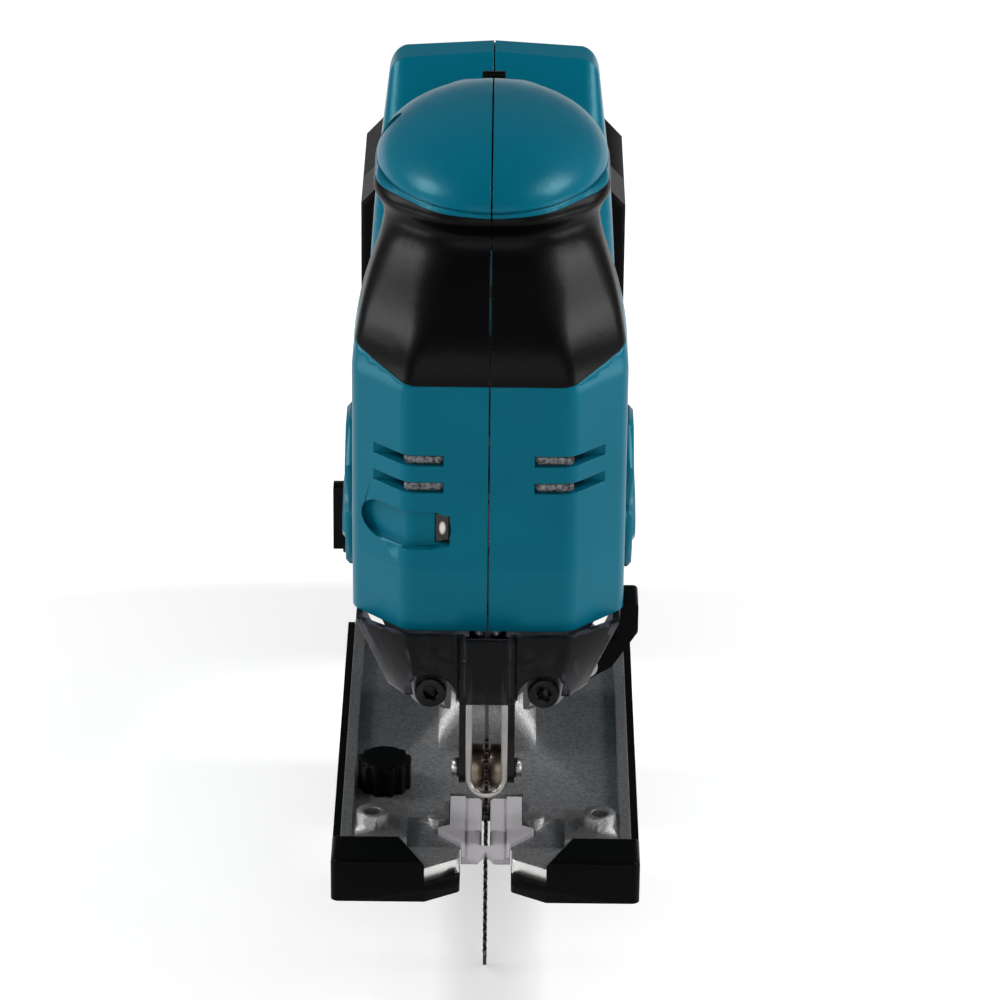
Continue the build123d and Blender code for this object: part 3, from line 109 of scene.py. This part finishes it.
def grained(name, colours, rough, grain_mm, depth_mm, cloud_mm=30.0, metal=0.0, edge_mm=0.5, gloss=0.12):
    """A solid finish: cloudy colour, a surface grain, a roughness band and softened edges."""
    made, tree, shader, place = material(name)
    cloud = node(tree, "ShaderNodeTexNoise", {"Vector": place, "Scale": 1000 / cloud_mm, "Detail": 3.0})
    grain = node(tree, "ShaderNodeTexNoise", {"Vector": place, "Scale": 1000 / grain_mm, "Detail": 2.0})
    colour = ramp(tree, cloud.outputs["Fac"], ((0.3, colours[0]), (0.7, colours[1])))
    band = node(tree, "ShaderNodeMapRange", {
        "Value": grain.outputs["Fac"], "To Min": rough[0], "To Max": rough[1],
    })
    round_edge = node(tree, "ShaderNodeBevel", {"Radius": edge_mm / 1000}, samples=4)
    bump = node(tree, "ShaderNodeBump", {
        "Height": grain.outputs["Fac"],
        "Distance": depth_mm / 1000,
        "Normal": round_edge.outputs["Normal"],
    })
    tree.links.new(colour, shader.inputs["Base Color"])
    tree.links.new(band.outputs["Result"], shader.inputs["Roughness"])
    tree.links.new(bump.outputs["Normal"], shader.inputs["Normal"])
    shader.inputs["Metallic"].default_value = metal
    if not metal:
        shader.inputs["Specular IOR Level"].default_value = gloss
    return made, tree, shader, place


# Most grains are drawn coarser than the real ones, about 0.3 to 1 mm, because finer ones would not show.

# Moulded glass-filled nylon: an even satin with a fine spark-eroded grain and bluish highlights.
teal_nylon, _, shader, _ = grained(
    "teal_glass_filled_nylon", ("#00566a", "#005c71"), (0.28, 0.36), 0.5, 0.015, gloss=0.2
)
shader.inputs["Specular Tint"].default_value = linear("#95f1ff")
# Soft thermoplastic rubber overmould: nearly black, with a dull sheen.
grip_rubber = grained("black_soft_rubber", ("#030303", "#060606"), (0.3, 0.4), 0.6, 0.02, gloss=0.08)[0]
# Black nylon: satin with a fine grain.
black_nylon = grained("black_moulded_nylon", ("#030303", "#060606"), (0.34, 0.46), 0.5, 0.02, gloss=0.04)[0]
# Shot-blasted aluminium casting: silver-grey and finely pebbled, so that it mirrors softly. Its fine light
# and dark speckle of colour is painted sparkle, standing in for the glints of the blasted pits.
cast_base = grained(
    "shot_blasted_cast_aluminium", ("#7d7d7e", "#a1a1a2"), (0.42, 0.64), 0.6, 0.08, 0.8, 1.0
)[0]
# Die-cast aluminium as cast: grey and dull.
cast_grey = grained("die_cast_aluminium", ("#77777a", "#8b8b8d"), (0.38, 0.55), 0.9, 0.04, 15.0, 1.0)[0]
# Machined aluminium: pale and bright.
cut_bright = grained("machined_aluminium", ("#d2d3d0", "#e4e5e2"), (0.22, 0.36), 0.4, 0.01, 9.0, 1.0)[0]
# Zinc-plated steel of pins and bolts: light grey with a soft shine.
steel_bright = grained("zinc_plated_steel", ("#8d8a88", "#a5a3a0"), (0.24, 0.38), 0.4, 0.006, 8.0, 1.0)[0]
# Ground tool steel of the drive: grey, and a little sharper in its shine.
steel_hard = grained("ground_tool_steel", ("#8a8a8a", "#9a9a9a"), (0.2, 0.34), 0.3, 0.004, 8.0, 1.0)[0]
# Steel with a black oxide finish: dark and satin.
steel_black = grained("black_oxide_steel", ("#1c1b1b", "#2b2a2a"), (0.3, 0.45), 0.4, 0.008, 6.0, 1.0)[0]
# Hardened roller: oiled and a little brown.
roller_steel = grained("oiled_hardened_steel", ("#6f6458", "#85796b"), (0.3, 0.42), 0.4, 0.006, 5.0, 1.0)[0]
# Saw-blade steel: dark bronze-grey from tempering.
blade_steel = grained("tempered_blade_steel", ("#3a3632", "#524c46"), (0.26, 0.42), 0.3, 0.006, 6.0, 1.0)[0]
# Stacked electrical steel: mid grey and dull.
lamination_steel = grained(
    "laminated_electrical_steel", ("#5d5d60", "#727275"), (0.35, 0.5), 0.5, 0.02, 10.0, 1.0
)[0]
# Enamelled copper windings: warm brown and uneven.
copper_wire = grained("enamelled_copper_wire", ("#8a4524", "#a8592f"), (0.25, 0.4), 0.7, 0.05, 6.0, 1.0)[0]
# Sintered bronze of the bush: dull yellow-brown.
bronze = grained("sintered_bronze", ("#8f6b3c", "#a37c48"), (0.4, 0.55), 0.4, 0.02, 8.0, 1.0)[0]
# Wool felt behind the air slots: mottled grey, without shine.
grey_felt = grained("grey_wool_felt", ("#202424", "#8f8f92"), (0.85, 1.0), 0.5, 0.3, 0.9, 0.0, 0.2)[0]
# Fibreglass board: dark green with a low gloss.
board_green = grained("fibreglass_circuit_board", ("#123a26", "#1b4d33"), (0.3, 0.45), 0.5, 0.01, 6.0)[0]
# Shrink film of the cells: blue, smooth and shiny.
cell_wrap = grained("shrink_film_on_cells", ("#3d5a86", "#46669a"), (0.22, 0.34), 0.6, 0.01, 12.0)[0]
# Red nylon of the battery button: satin with a fine grain.
red_nylon = grained("red_moulded_nylon", ("#8c1414", "#9a1a18"), (0.36, 0.5), 0.5, 0.02)[0]

# Smoked polycarbonate: dark glassy plastic that still lets some light through.
smoked, _, shader, _ = grained(
    "smoked_polycarbonate", ("#3a3a42", "#44444c"), (0.04, 0.07), 2.0, 0.01, edge_mm=1.4
)
shader.inputs["Transmission Weight"].default_value = 1.0
shader.inputs["IOR"].default_value = 1.15
shader.inputs["Coat Weight"].default_value = 0.1
shader.inputs["Coat Roughness"].default_value = 0.04

# Dark lens with the pale lamp chip in its middle. The lens is painted dark as the shade inside the lamp, and
# the chip's pale colour fades out through a soft painted glint.
lamp_centre = sum((Vector(c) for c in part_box("lamp_lens")), Vector()) / 2
# The chip and its painted glint have faded out 1/900 m to the side of their middle and 1/420 m above and
# below it.
chip_glint_scale = (900, 0, 420)
lamp_lens, tree, shader, place = grained(
    "lens_painted_shade_and_glint", ("#050505", "#090909"), (0.06, 0.12), 1.0, 0.01, gloss=0.5
)
centred = node(tree, "ShaderNodeMapping", {"Location": -lamp_centre, "Vector": place}, vector_type="POINT")
stretched = node(tree, "ShaderNodeVectorMath", {0: centred.outputs[0], 1: chip_glint_scale}, operation="MULTIPLY")
reach = node(tree, "ShaderNodeVectorMath", {0: stretched.outputs[0]}, operation="LENGTH")
# Pale chip in the middle, fading through a painted glint into the painted shade of the lens.
chip_and_glint = ramp(tree, reach.outputs["Value"], ((0.0, "#f2eee6"), (0.55, "#d8d2c8"), (0.8, "#060606")))
tree.links.new(chip_and_glint, shader.inputs["Base Color"])

# Frosted acetal of the anti-splinter insert: pale grey and waxy.
frosted, _, shader, _ = grained("frosted_acetal", ("#989599", "#a4a1a5"), (0.3, 0.42), 0.7, 0.02)
shader.inputs["Subsurface Weight"].default_value = 0.25
shader.inputs["Subsurface Radius"].default_value = (0.003, 0.003, 0.003)


# Pieces carried over from the frame

body_of = {n: b for b, ns in frame["record"]["behaviour"]["bodies"].items() for n in ns}
slot_of = {s["node"]: s["material_slot"] for s in frame["record"]["subparts"]}
# Crease angles in degrees, and the distance in metres within which corners are merged.
plain_crease = 30.0
rim_crease = 35.0
weld_reach = 2e-6


def finish_piece(piece, carrier, finish, angle=plain_crease, hides=True, round_mm=0.0):
    """Smooths a piece, gives it its finish and ties it to a node's body, mostly in that node's place."""
    mesh = piece.data
    mesh.materials.clear()
    mesh.materials.append(finish)
    mesh.shade_smooth()
    mesh.set_sharp_from_angle(angle=math.radians(angle))
    if piece.name not in scene.collection.objects:
        scene.collection.objects.link(piece)
    if round_mm:
        rounded = piece.modifiers.new("rounded", "BEVEL")
        rounded.width = round_mm / 1000
        rounded.segments = 3
        rounded.limit_method = "ANGLE"
        rounded.angle_limit = math.radians(rim_crease)
    # Flat faces keep their own direction, and only the rounds between them blend.
    levelled = piece.modifiers.new("levelled", "WEIGHTED_NORMAL")
    levelled.keep_sharp = True
    ready = piece.evaluated_get(bpy.context.evaluated_depsgraph_get())
    piece.data = bpy.data.meshes.new_from_object(ready)
    piece.modifiers.clear()
    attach(piece, body_of[carrier])
    if hides:
        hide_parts(carrier)


def new_piece(name, shape):
    """An object whose mesh is a finished bmesh shape."""
    mesh = bpy.data.meshes.new(name)
    shape.to_mesh(mesh)
    shape.free()
    return bpy.data.objects.new(name, mesh)


def dress(name, finish, angle, round_mm):
    """Puts a welded and smooth-shaded copy of a frame node in its place."""
    welded = bmesh.new()
    welded.from_mesh(frame["nodes"][name].data)
    bmesh.ops.remove_doubles(welded, verts=welded.verts, dist=weld_reach)
    finish_piece(new_piece(name + "_dressed", welded), name, finish, angle, round_mm=round_mm)


finishes = {
    "teal_plastic": teal_nylon,
    "grip_rubber": grip_rubber,
    "black_steel": steel_black,
    "zinc_steel": steel_bright,
    "hard_steel": steel_hard,
    "cast_aluminium": cast_grey,
    "base_aluminium": cast_base,
    "laminations": lamination_steel,
    "copper": copper_wire,
    "bronze": bronze,
    "black_plastic": black_nylon,
    "red_plastic": red_nylon,
    "clamp_steel": steel_black,
    "blade_steel": blade_steel,
    "smoked_plastic": smoked,
    "lens": lamp_lens,
    "insert_plastic": frosted,
    "felt": grey_felt,
    "circuit_board": board_green,
    "cell_wrap": cell_wrap,
}
own_finish = {"blade_roller": roller_steel}
made_here = {"blade", "vent_felts"}
# The housing's facets are shallow, so its crease angle is lower.
own_crease = {"housing_left": 16.0, "housing_right": 16.0}
# Rounded rims in millimetres.
soft_rims = {"dust_cover": 0.4}
for name in sorted(set(frame["nodes"]) - made_here):
    finish = own_finish.get(name, finishes[slot_of[name]])
    dress(name, finish, own_crease.get(name, plain_crease), soft_rims.get(name, 0.0))

# The prong tips of the base are milled after casting, so they are brighter.
prong_start, prong_half = -0.054, 0.0175
least_forward, most_upward = 0.4, 0.3
base = bpy.data.objects["base_plate_dressed"].data
base.materials.append(cut_bright)
for face in base.polygons:
    on_prong = face.center.y < prong_start and abs(face.center.x) < prong_half
    if on_prong and face.normal.y < -least_forward and face.normal.z < most_upward:
        face.material_index = 1


# Geometry trees, and pieces grown by them

def new_tree(name, inputs):
    """An empty geometry tree with its named inputs, and those inputs' sockets."""
    tree = bpy.data.node_groups.new(name, "GeometryNodeTree")
    for label, kind in inputs:
        tree.interface.new_socket(label, in_out="INPUT", socket_type="NodeSocket" + kind)
    tree.interface.new_socket("Geometry", in_out="OUTPUT", socket_type="NodeSocketGeometry")
    return tree, node(tree, "NodeGroupInput").outputs


def end_tree(tree, grown_shape, finish):
    """Ends a geometry tree: plain mesh, its finish, the output."""
    plain = node(tree, "GeometryNodeRealizeInstances", {"Geometry": grown_shape})
    coated = node(tree, "GeometryNodeSetMaterial", {
        "Geometry": plain.outputs["Geometry"], "Material": finish,
    })
    node(tree, "NodeGroupOutput", {"Geometry": coated.outputs["Geometry"]})
    return tree


def grown(piece, tree, sizes):
    """The piece with a node tree's result as its plain mesh; sizes are the tree's inputs by name."""
    scene.collection.objects.link(piece)
    grower = piece.modifiers.new(tree.name, "NODES")
    grower.node_group = tree
    for item in tree.interface.items_tree:
        if item.in_out == "INPUT" and item.name in sizes:
            grower[item.identifier] = sizes[item.name]
    ready = piece.evaluated_get(bpy.context.evaluated_depsgraph_get())
    mesh = bpy.data.meshes.new_from_object(ready)
    piece.modifiers.remove(grower)
    piece.data = mesh
    return piece


# Blade with teeth set in turn to the left and to the right

# How far a tooth's lower corner is lifted, as a share of the pitch.
tooth_rise = 0.88


def saw_teeth():
    """A node tree that adds a row of pointed teeth, set by turns, to the blade's front edge."""
    tree, given = new_tree("saw_teeth", (
        ("Geometry", "Geometry"),
        ("Teeth", "Int"),
        ("Pitch", "Float"),
        ("Depth", "Float"),
        ("Thickness", "Float"),
        ("Set angle", "Float"),
        ("First tooth", "Vector"),
        ("Finish", "Material"),
    ))
    step = node(tree, "ShaderNodeMath", {0: given["Pitch"], 1: -1.0}, operation="MULTIPLY")
    step = node(tree, "ShaderNodeCombineXYZ", {"Z": step.outputs[0]})
    row = node(tree, "GeometryNodeMeshLine", {
        "Count": given["Teeth"],
        "Start Location": given["First tooth"],
        "Offset": step.outputs[0],
    })
    size = node(tree, "ShaderNodeCombineXYZ", {
        "X": given["Thickness"], "Y": given["Depth"], "Z": given["Pitch"],
    })
    block = node(tree, "GeometryNodeMeshCube", {"Size": size.outputs[0]})
    # The lower front edge of each block is lifted almost to its upper one, which leaves a tooth.
    spot = node(tree, "GeometryNodeInputPosition")
    spot = node(tree, "ShaderNodeSeparateXYZ", {"Vector": spot.outputs[0]})
    front = node(tree, "FunctionNodeCompare", {"A": spot.outputs["Y"], "B": 0.0}, operation="LESS_THAN")
    low = node(tree, "FunctionNodeCompare", {"A": spot.outputs["Z"], "B": 0.0}, operation="LESS_THAN")
    corner = node(tree, "FunctionNodeBooleanMath", {0: front.outputs[0], 1: low.outputs[0]})
    lift = node(tree, "ShaderNodeMath", {0: given["Pitch"], 1: tooth_rise}, operation="MULTIPLY")
    lift = node(tree, "ShaderNodeCombineXYZ", {"Z": lift.outputs[0]})
    tooth = node(tree, "GeometryNodeSetPosition", {
        "Geometry": block.outputs["Mesh"],
        "Selection": corner.outputs[0],
        "Offset": lift.outputs[0],
    })
    # Even teeth lean one way and odd teeth the other.
    count = node(tree, "GeometryNodeInputIndex")
    turn = node(tree, "ShaderNodeMath", {0: count.outputs[0], 1: 2.0}, operation="MODULO")
    turn = node(tree, "ShaderNodeMath", {0: turn.outputs[0], 1: 2.0, 2: -1.0}, operation="MULTIPLY_ADD")
    turn = node(tree, "ShaderNodeMath", {0: turn.outputs[0], 1: given["Set angle"]}, operation="MULTIPLY")
    turn = node(tree, "ShaderNodeCombineXYZ", {"Z": turn.outputs[0]})
    turn = node(tree, "FunctionNodeEulerToRotation", {0: turn.outputs[0]})
    placed = node(tree, "GeometryNodeInstanceOnPoints", {
        "Points": row.outputs["Mesh"],
        "Instance": tooth.outputs["Geometry"],
        "Rotation": turn.outputs[0],
    })
    whole = node(tree, "GeometryNodeJoinGeometry", {"Geometry": placed.outputs["Instances"]})
    tree.links.new(given["Geometry"], whole.inputs["Geometry"])
    return end_tree(tree, whole.outputs["Geometry"], given["Finish"])


blade_low, blade_high = (Vector(corner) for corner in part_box("blade"))
tooth_pitch, tooth_deep, blade_thick = 0.003, 0.0019, 0.0009
set_angle = 7.0
teeth_top = 0.036
shank_front = blade_low.y + 0.0012
shank_low, neck_low = 0.038, 0.0365
tip_rise, tip_run = 0.0022, 0.0015
bare_tip = 0.002
root_overlap = 0.0002
root_line = blade_low.y + tooth_deep - root_overlap
blade_side = [
    (blade_high.y, blade_low.z),
    (blade_high.y, blade_high.z),
    (shank_front, blade_high.z),
    (shank_front, shank_low),
    (root_line, neck_low),
    (root_line, blade_low.z + tip_rise),
    (blade_high.y - tip_run, blade_low.z),
]
sheet = bmesh.new()
rings = [[sheet.verts.new((x, y, z)) for y, z in blade_side] for x in (-blade_thick / 2, blade_thick / 2)]
sheet.faces.new(rings[0])
sheet.faces.new(reversed(rings[1]))
for i in range(len(blade_side)):
    j = (i + 1) % len(blade_side)
    sheet.faces.new((rings[0][j], rings[0][i], rings[1][i], rings[1][j]))
bmesh.ops.recalc_face_normals(sheet, faces=sheet.faces)
first_level = teeth_top - tooth_pitch / 2
blade = grown(new_piece("toothed_blade", sheet), saw_teeth(), {
    "Teeth": int((first_level - blade_low.z - bare_tip) / tooth_pitch),
    "Pitch": tooth_pitch,
    "Depth": tooth_deep,
    "Thickness": blade_thick,
    "Set angle": math.radians(set_angle),
    "First tooth": (0.0, blade_low.y + tooth_deep / 2, first_level),
    "Finish": blade_steel,
})
finish_piece(blade, "blade", blade_steel)


# Felt pads, pressed into the four nose slots

def soft_block(shape, low, high, round_by):
    """Adds a box with rounded edges to a shape."""
    made = bmesh.ops.create_cube(shape, size=1.0)["verts"]
    for vert in made:
        vert.co = [a + (b - a) * (c + 0.5) for a, b, c in zip(low, high, vert.co)]
    edges = list({edge for vert in made for edge in vert.link_edges})
    bmesh.ops.bevel(shape, geom=edges, offset=round_by, segments=3, affect="EDGES")


felt_low, felt_high = (Vector(corner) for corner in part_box("vent_felts"))
felt_inner = 0.0099
slot_levels = (0.1171, 0.1100)
pad_inner, pad_outer = 0.0112, 0.0205
pad_front, pad_back = felt_low.y - 0.0031, felt_low.y + 0.0005
pad_half = 0.00125
felt_round, pad_round = 0.0004, 0.0005
pads = bmesh.new()
for side in (-1, 1):
    near, far = sorted((side * felt_inner, side * felt_high.x))
    soft_block(pads, (near, felt_low.y, felt_low.z), (far, felt_high.y, felt_high.z), felt_round)
    near, far = sorted((side * pad_inner, side * pad_outer))
    for level in slot_levels:
        low, high = level - pad_half, level + pad_half
        soft_block(pads, (near, pad_front, low), (far, pad_back, high), pad_round)
finish_piece(new_piece("felt_pads", pads), "vent_felts", grey_felt)

# Moulded tongue that closes the housing's parting line in the rear block, so that no light shows there.
tongue_half, tongue_round = 0.00019, 0.00003
tongue_front, tongue_back = 0.1102, 0.1172
tongue_low, tongue_high = 0.1400, 0.1599
tongue = bmesh.new()
soft_block(
    tongue,
    (-tongue_half, tongue_front, tongue_low),
    (tongue_half, tongue_back, tongue_high),
    tongue_round,
)
finish_piece(new_piece("parting_tongue", tongue), "housing_left", teal_nylon, hides=False)


# Moulded grip ribs of the battery pack and its button

# The outer corners of a bar lie just beyond this share of its size.
nearly_half = 0.499


def grip_ribs():
    """A node tree that makes a row of bars with sloping flanks."""
    tree, given = new_tree("grip_ribs", (
        ("Ribs", "Int"),
        ("First rib", "Vector"),
        ("Step", "Vector"),
        ("Size", "Vector"),
        ("Narrowing", "Vector"),
        ("Finish", "Material"),
    ))
    row = node(tree, "GeometryNodeMeshLine", {
        "Count": given["Ribs"],
        "Start Location": given["First rib"],
        "Offset": given["Step"],
    })
    bar = node(tree, "GeometryNodeMeshCube", {
        "Size": given["Size"], "Vertices X": 3, "Vertices Y": 3, "Vertices Z": 3,
    })
    # The outer edges of each bar are drawn in, which slopes its flanks.
    spot = node(tree, "GeometryNodeInputPosition")
    drawn = node(tree, "ShaderNodeVectorMath", {
        0: spot.outputs[0], 1: given["Narrowing"],
    }, operation="MULTIPLY")
    reach = node(tree, "ShaderNodeVectorMath", {0: spot.outputs[0]}, operation="ABSOLUTE")
    half = node(tree, "ShaderNodeVectorMath", {0: given["Size"], "Scale": nearly_half}, operation="SCALE")
    past = node(tree, "ShaderNodeVectorMath", {
        0: reach.outputs[0], 1: half.outputs[0],
    }, operation="SUBTRACT")
    past = node(tree, "ShaderNodeSeparateXYZ", {"Vector": past.outputs[0]})
    outer_x, outer_y = (
        node(tree, "FunctionNodeCompare", {"A": past.outputs[axis], "B": 0.0}, operation="GREATER_THAN")
        for axis in ("X", "Y")
    )
    edge = node(tree, "FunctionNodeBooleanMath", {0: outer_x.outputs[0], 1: outer_y.outputs[0]})
    tapered = node(tree, "GeometryNodeSetPosition", {
        "Geometry": bar.outputs["Mesh"],
        "Selection": edge.outputs[0],
        "Position": drawn.outputs[0],
    })
    placed = node(tree, "GeometryNodeInstanceOnPoints", {
        "Points": row.outputs["Mesh"],
        "Instance": tapered.outputs["Geometry"],
    })
    return end_tree(tree, placed.outputs["Instances"], given["Finish"])


rib_rows = grip_ribs()
pack_low, pack_high = (Vector(corner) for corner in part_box("battery_case_rear"))
button_low = Vector(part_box("battery_button")[0])
rib_sunk = 0.0005
rib_side, rib_start, rib_level = pack_high.x - rib_sunk, pack_low.y + 0.006, pack_low.z + 0.028
pack_ribs = {
    "Ribs": 6,
    "Step": (0, 0.0044, 0),
    "Size": (0.0016, 0.0022, 0.038),
    "Narrowing": (1, 0.45, 0.96),
    "Finish": black_nylon,
}
button_ribs = {
    "Ribs": 4,
    "First rib": (0, button_low.y, button_low.z + 0.0034),
    "Step": (0, 0, 0.0024),
    "Size": (0.019, 0.0014, 0.0012),
    "Narrowing": (0.97, 1, 0.5),
    "Finish": red_nylon,
}
right_ribs = pack_ribs | {"First rib": (-rib_side, rib_start, rib_level)}
left_ribs = pack_ribs | {"First rib": (rib_side, rib_start, rib_level)}
for name, carrier, sizes in (
    ("pack_ribs_right", "battery_case_rear", right_ribs),
    ("pack_ribs_left", "battery_case_rear", left_ribs),
    ("button_ribs", "battery_button", button_ribs),
):
    ribs = grown(new_piece(name, bmesh.new()), rib_rows, sizes)
    finish_piece(ribs, carrier, sizes["Finish"], hides=False)


# Floor, light and camera

def area_lamp(name, place, target, size, power):
    """A soft, white, rectangular studio lamp aimed at a point."""
    lamp = bpy.data.lights.new(name, "AREA")
    lamp.shape = "RECTANGLE"
    lamp.size, lamp.size_y = size
    lamp.energy = power
    made = bpy.data.objects.new(name, lamp)
    made.location = place
    aim = Vector(target) - Vector(place)
    made.rotation_euler = aim.to_track_quat("-Z", "Y").to_euler()
    scene.collection.objects.link(made)


floor_half, floor_gap = 9, 0.0005
floor_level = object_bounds()[0][2] - floor_gap
corners = [(x * floor_half, y * floor_half, floor_level) for x, y in ((-1, -1), (1, -1), (1, 1), (-1, 1))]
floor_mesh = bpy.data.meshes.new("floor")
floor_mesh.from_pydata(corners, [], [(0, 1, 2, 3)])
floor = bpy.data.objects.new("floor", floor_mesh)
scene.collection.objects.link(floor)
white_paper = bpy.data.materials.new("white_paper_floor")
white_paper.use_nodes = True
tree = white_paper.node_tree
tree.nodes.clear()
shown = node(tree, "ShaderNodeLightPath")
matt = node(tree, "ShaderNodeBsdfDiffuse", {"Color": linear("#f4f4f4")})
glow = node(tree, "ShaderNodeEmission", {"Color": linear("#ffffff"), "Strength": 1.0})
# The camera sees paper that is white by the light on it and by a glow that makes up for the lamps' fall-off,
# so that the tool's shadow stays on it. Metal and glass mirror it as plain white.
near_reach, far_reach = 0.7, 1.6
near_glow, far_glow = 0.3, 0.88
place = node(tree, "ShaderNodeTexCoord").outputs["Object"]
away = node(tree, "ShaderNodeVectorMath", {0: place}, operation="LENGTH")
rise = node(tree, "ShaderNodeMapRange", {
    "Value": away.outputs["Value"],
    "From Min": near_reach,
    "From Max": far_reach,
    "To Min": near_glow,
    "To Max": far_glow,
})
faint = node(tree, "ShaderNodeEmission", {"Color": linear("#ffffff"), "Strength": rise.outputs["Result"]})
lit = node(tree, "ShaderNodeAddShader", {0: matt.outputs[0], 1: faint.outputs[0]})
seen = node(tree, "ShaderNodeMixShader", {
    0: shown.outputs["Is Camera Ray"], 1: matt.outputs[0], 2: lit.outputs[0],
})
mirrored = node(tree, "ShaderNodeMath", {
    0: shown.outputs["Is Glossy Ray"], 1: shown.outputs["Is Transmission Ray"],
}, operation="MAXIMUM")
mixed = node(tree, "ShaderNodeMixShader", {0: mirrored.outputs[0], 1: seen.outputs[0], 2: glow.outputs[0]})
node(tree, "ShaderNodeOutputMaterial", {"Surface": mixed.outputs[0]})
floor_mesh.materials.append(white_paper)

world = bpy.data.worlds.new("studio")
world.use_nodes = True
scene.world = world
tree = world.node_tree
tree.nodes.clear()
soft = node(tree, "ShaderNodeBackground", {"Color": linear("#f4f3f2"), "Strength": 0.16})
node(tree, "ShaderNodeOutputWorld", {"Surface": soft.outputs[0]})

area_lamp("side_right", (0.90, 0.12, 0.88), (0, 0, 0.15), (0.42, 0.42), 10.5)
area_lamp("side_left", (-0.93, 0.11, 0.82), (0, 0, 0.15), (0.4, 0.4), 9.0)
area_lamp("strip_right", (1.05, -0.2, 0.12), (0, 0, 0.1), (0.5, 0.3), 4.0)
area_lamp("strip_left", (-1.05, -0.2, 0.12), (0, 0, 0.1), (0.5, 0.3), 3.5)
area_lamp("front", (0.0, -1.6, 0.75), (0, 0, 0.1), (2.0, 1.0), 12.0)

scene.view_settings.view_transform = "Standard"
camera = bpy.data.cameras.new("camera")
camera.sensor_width = 36.0
camera.lens = 174.24
camera.clip_start = 0.05
camera.clip_end = 20.0
camera_place = (0.0027, -1.1206, 0.6006)
camera_tilt, camera_roll = 65.0, 0.6
view = bpy.data.objects.new("camera", camera)
scene.collection.objects.link(view)
view.matrix_world = (
    Matrix.Translation(camera_place)
    @ Matrix.Rotation(math.radians(camera_tilt), 4, "X")
    @ Matrix.Rotation(math.radians(camera_roll), 4, "Z")
)
scene.camera = view
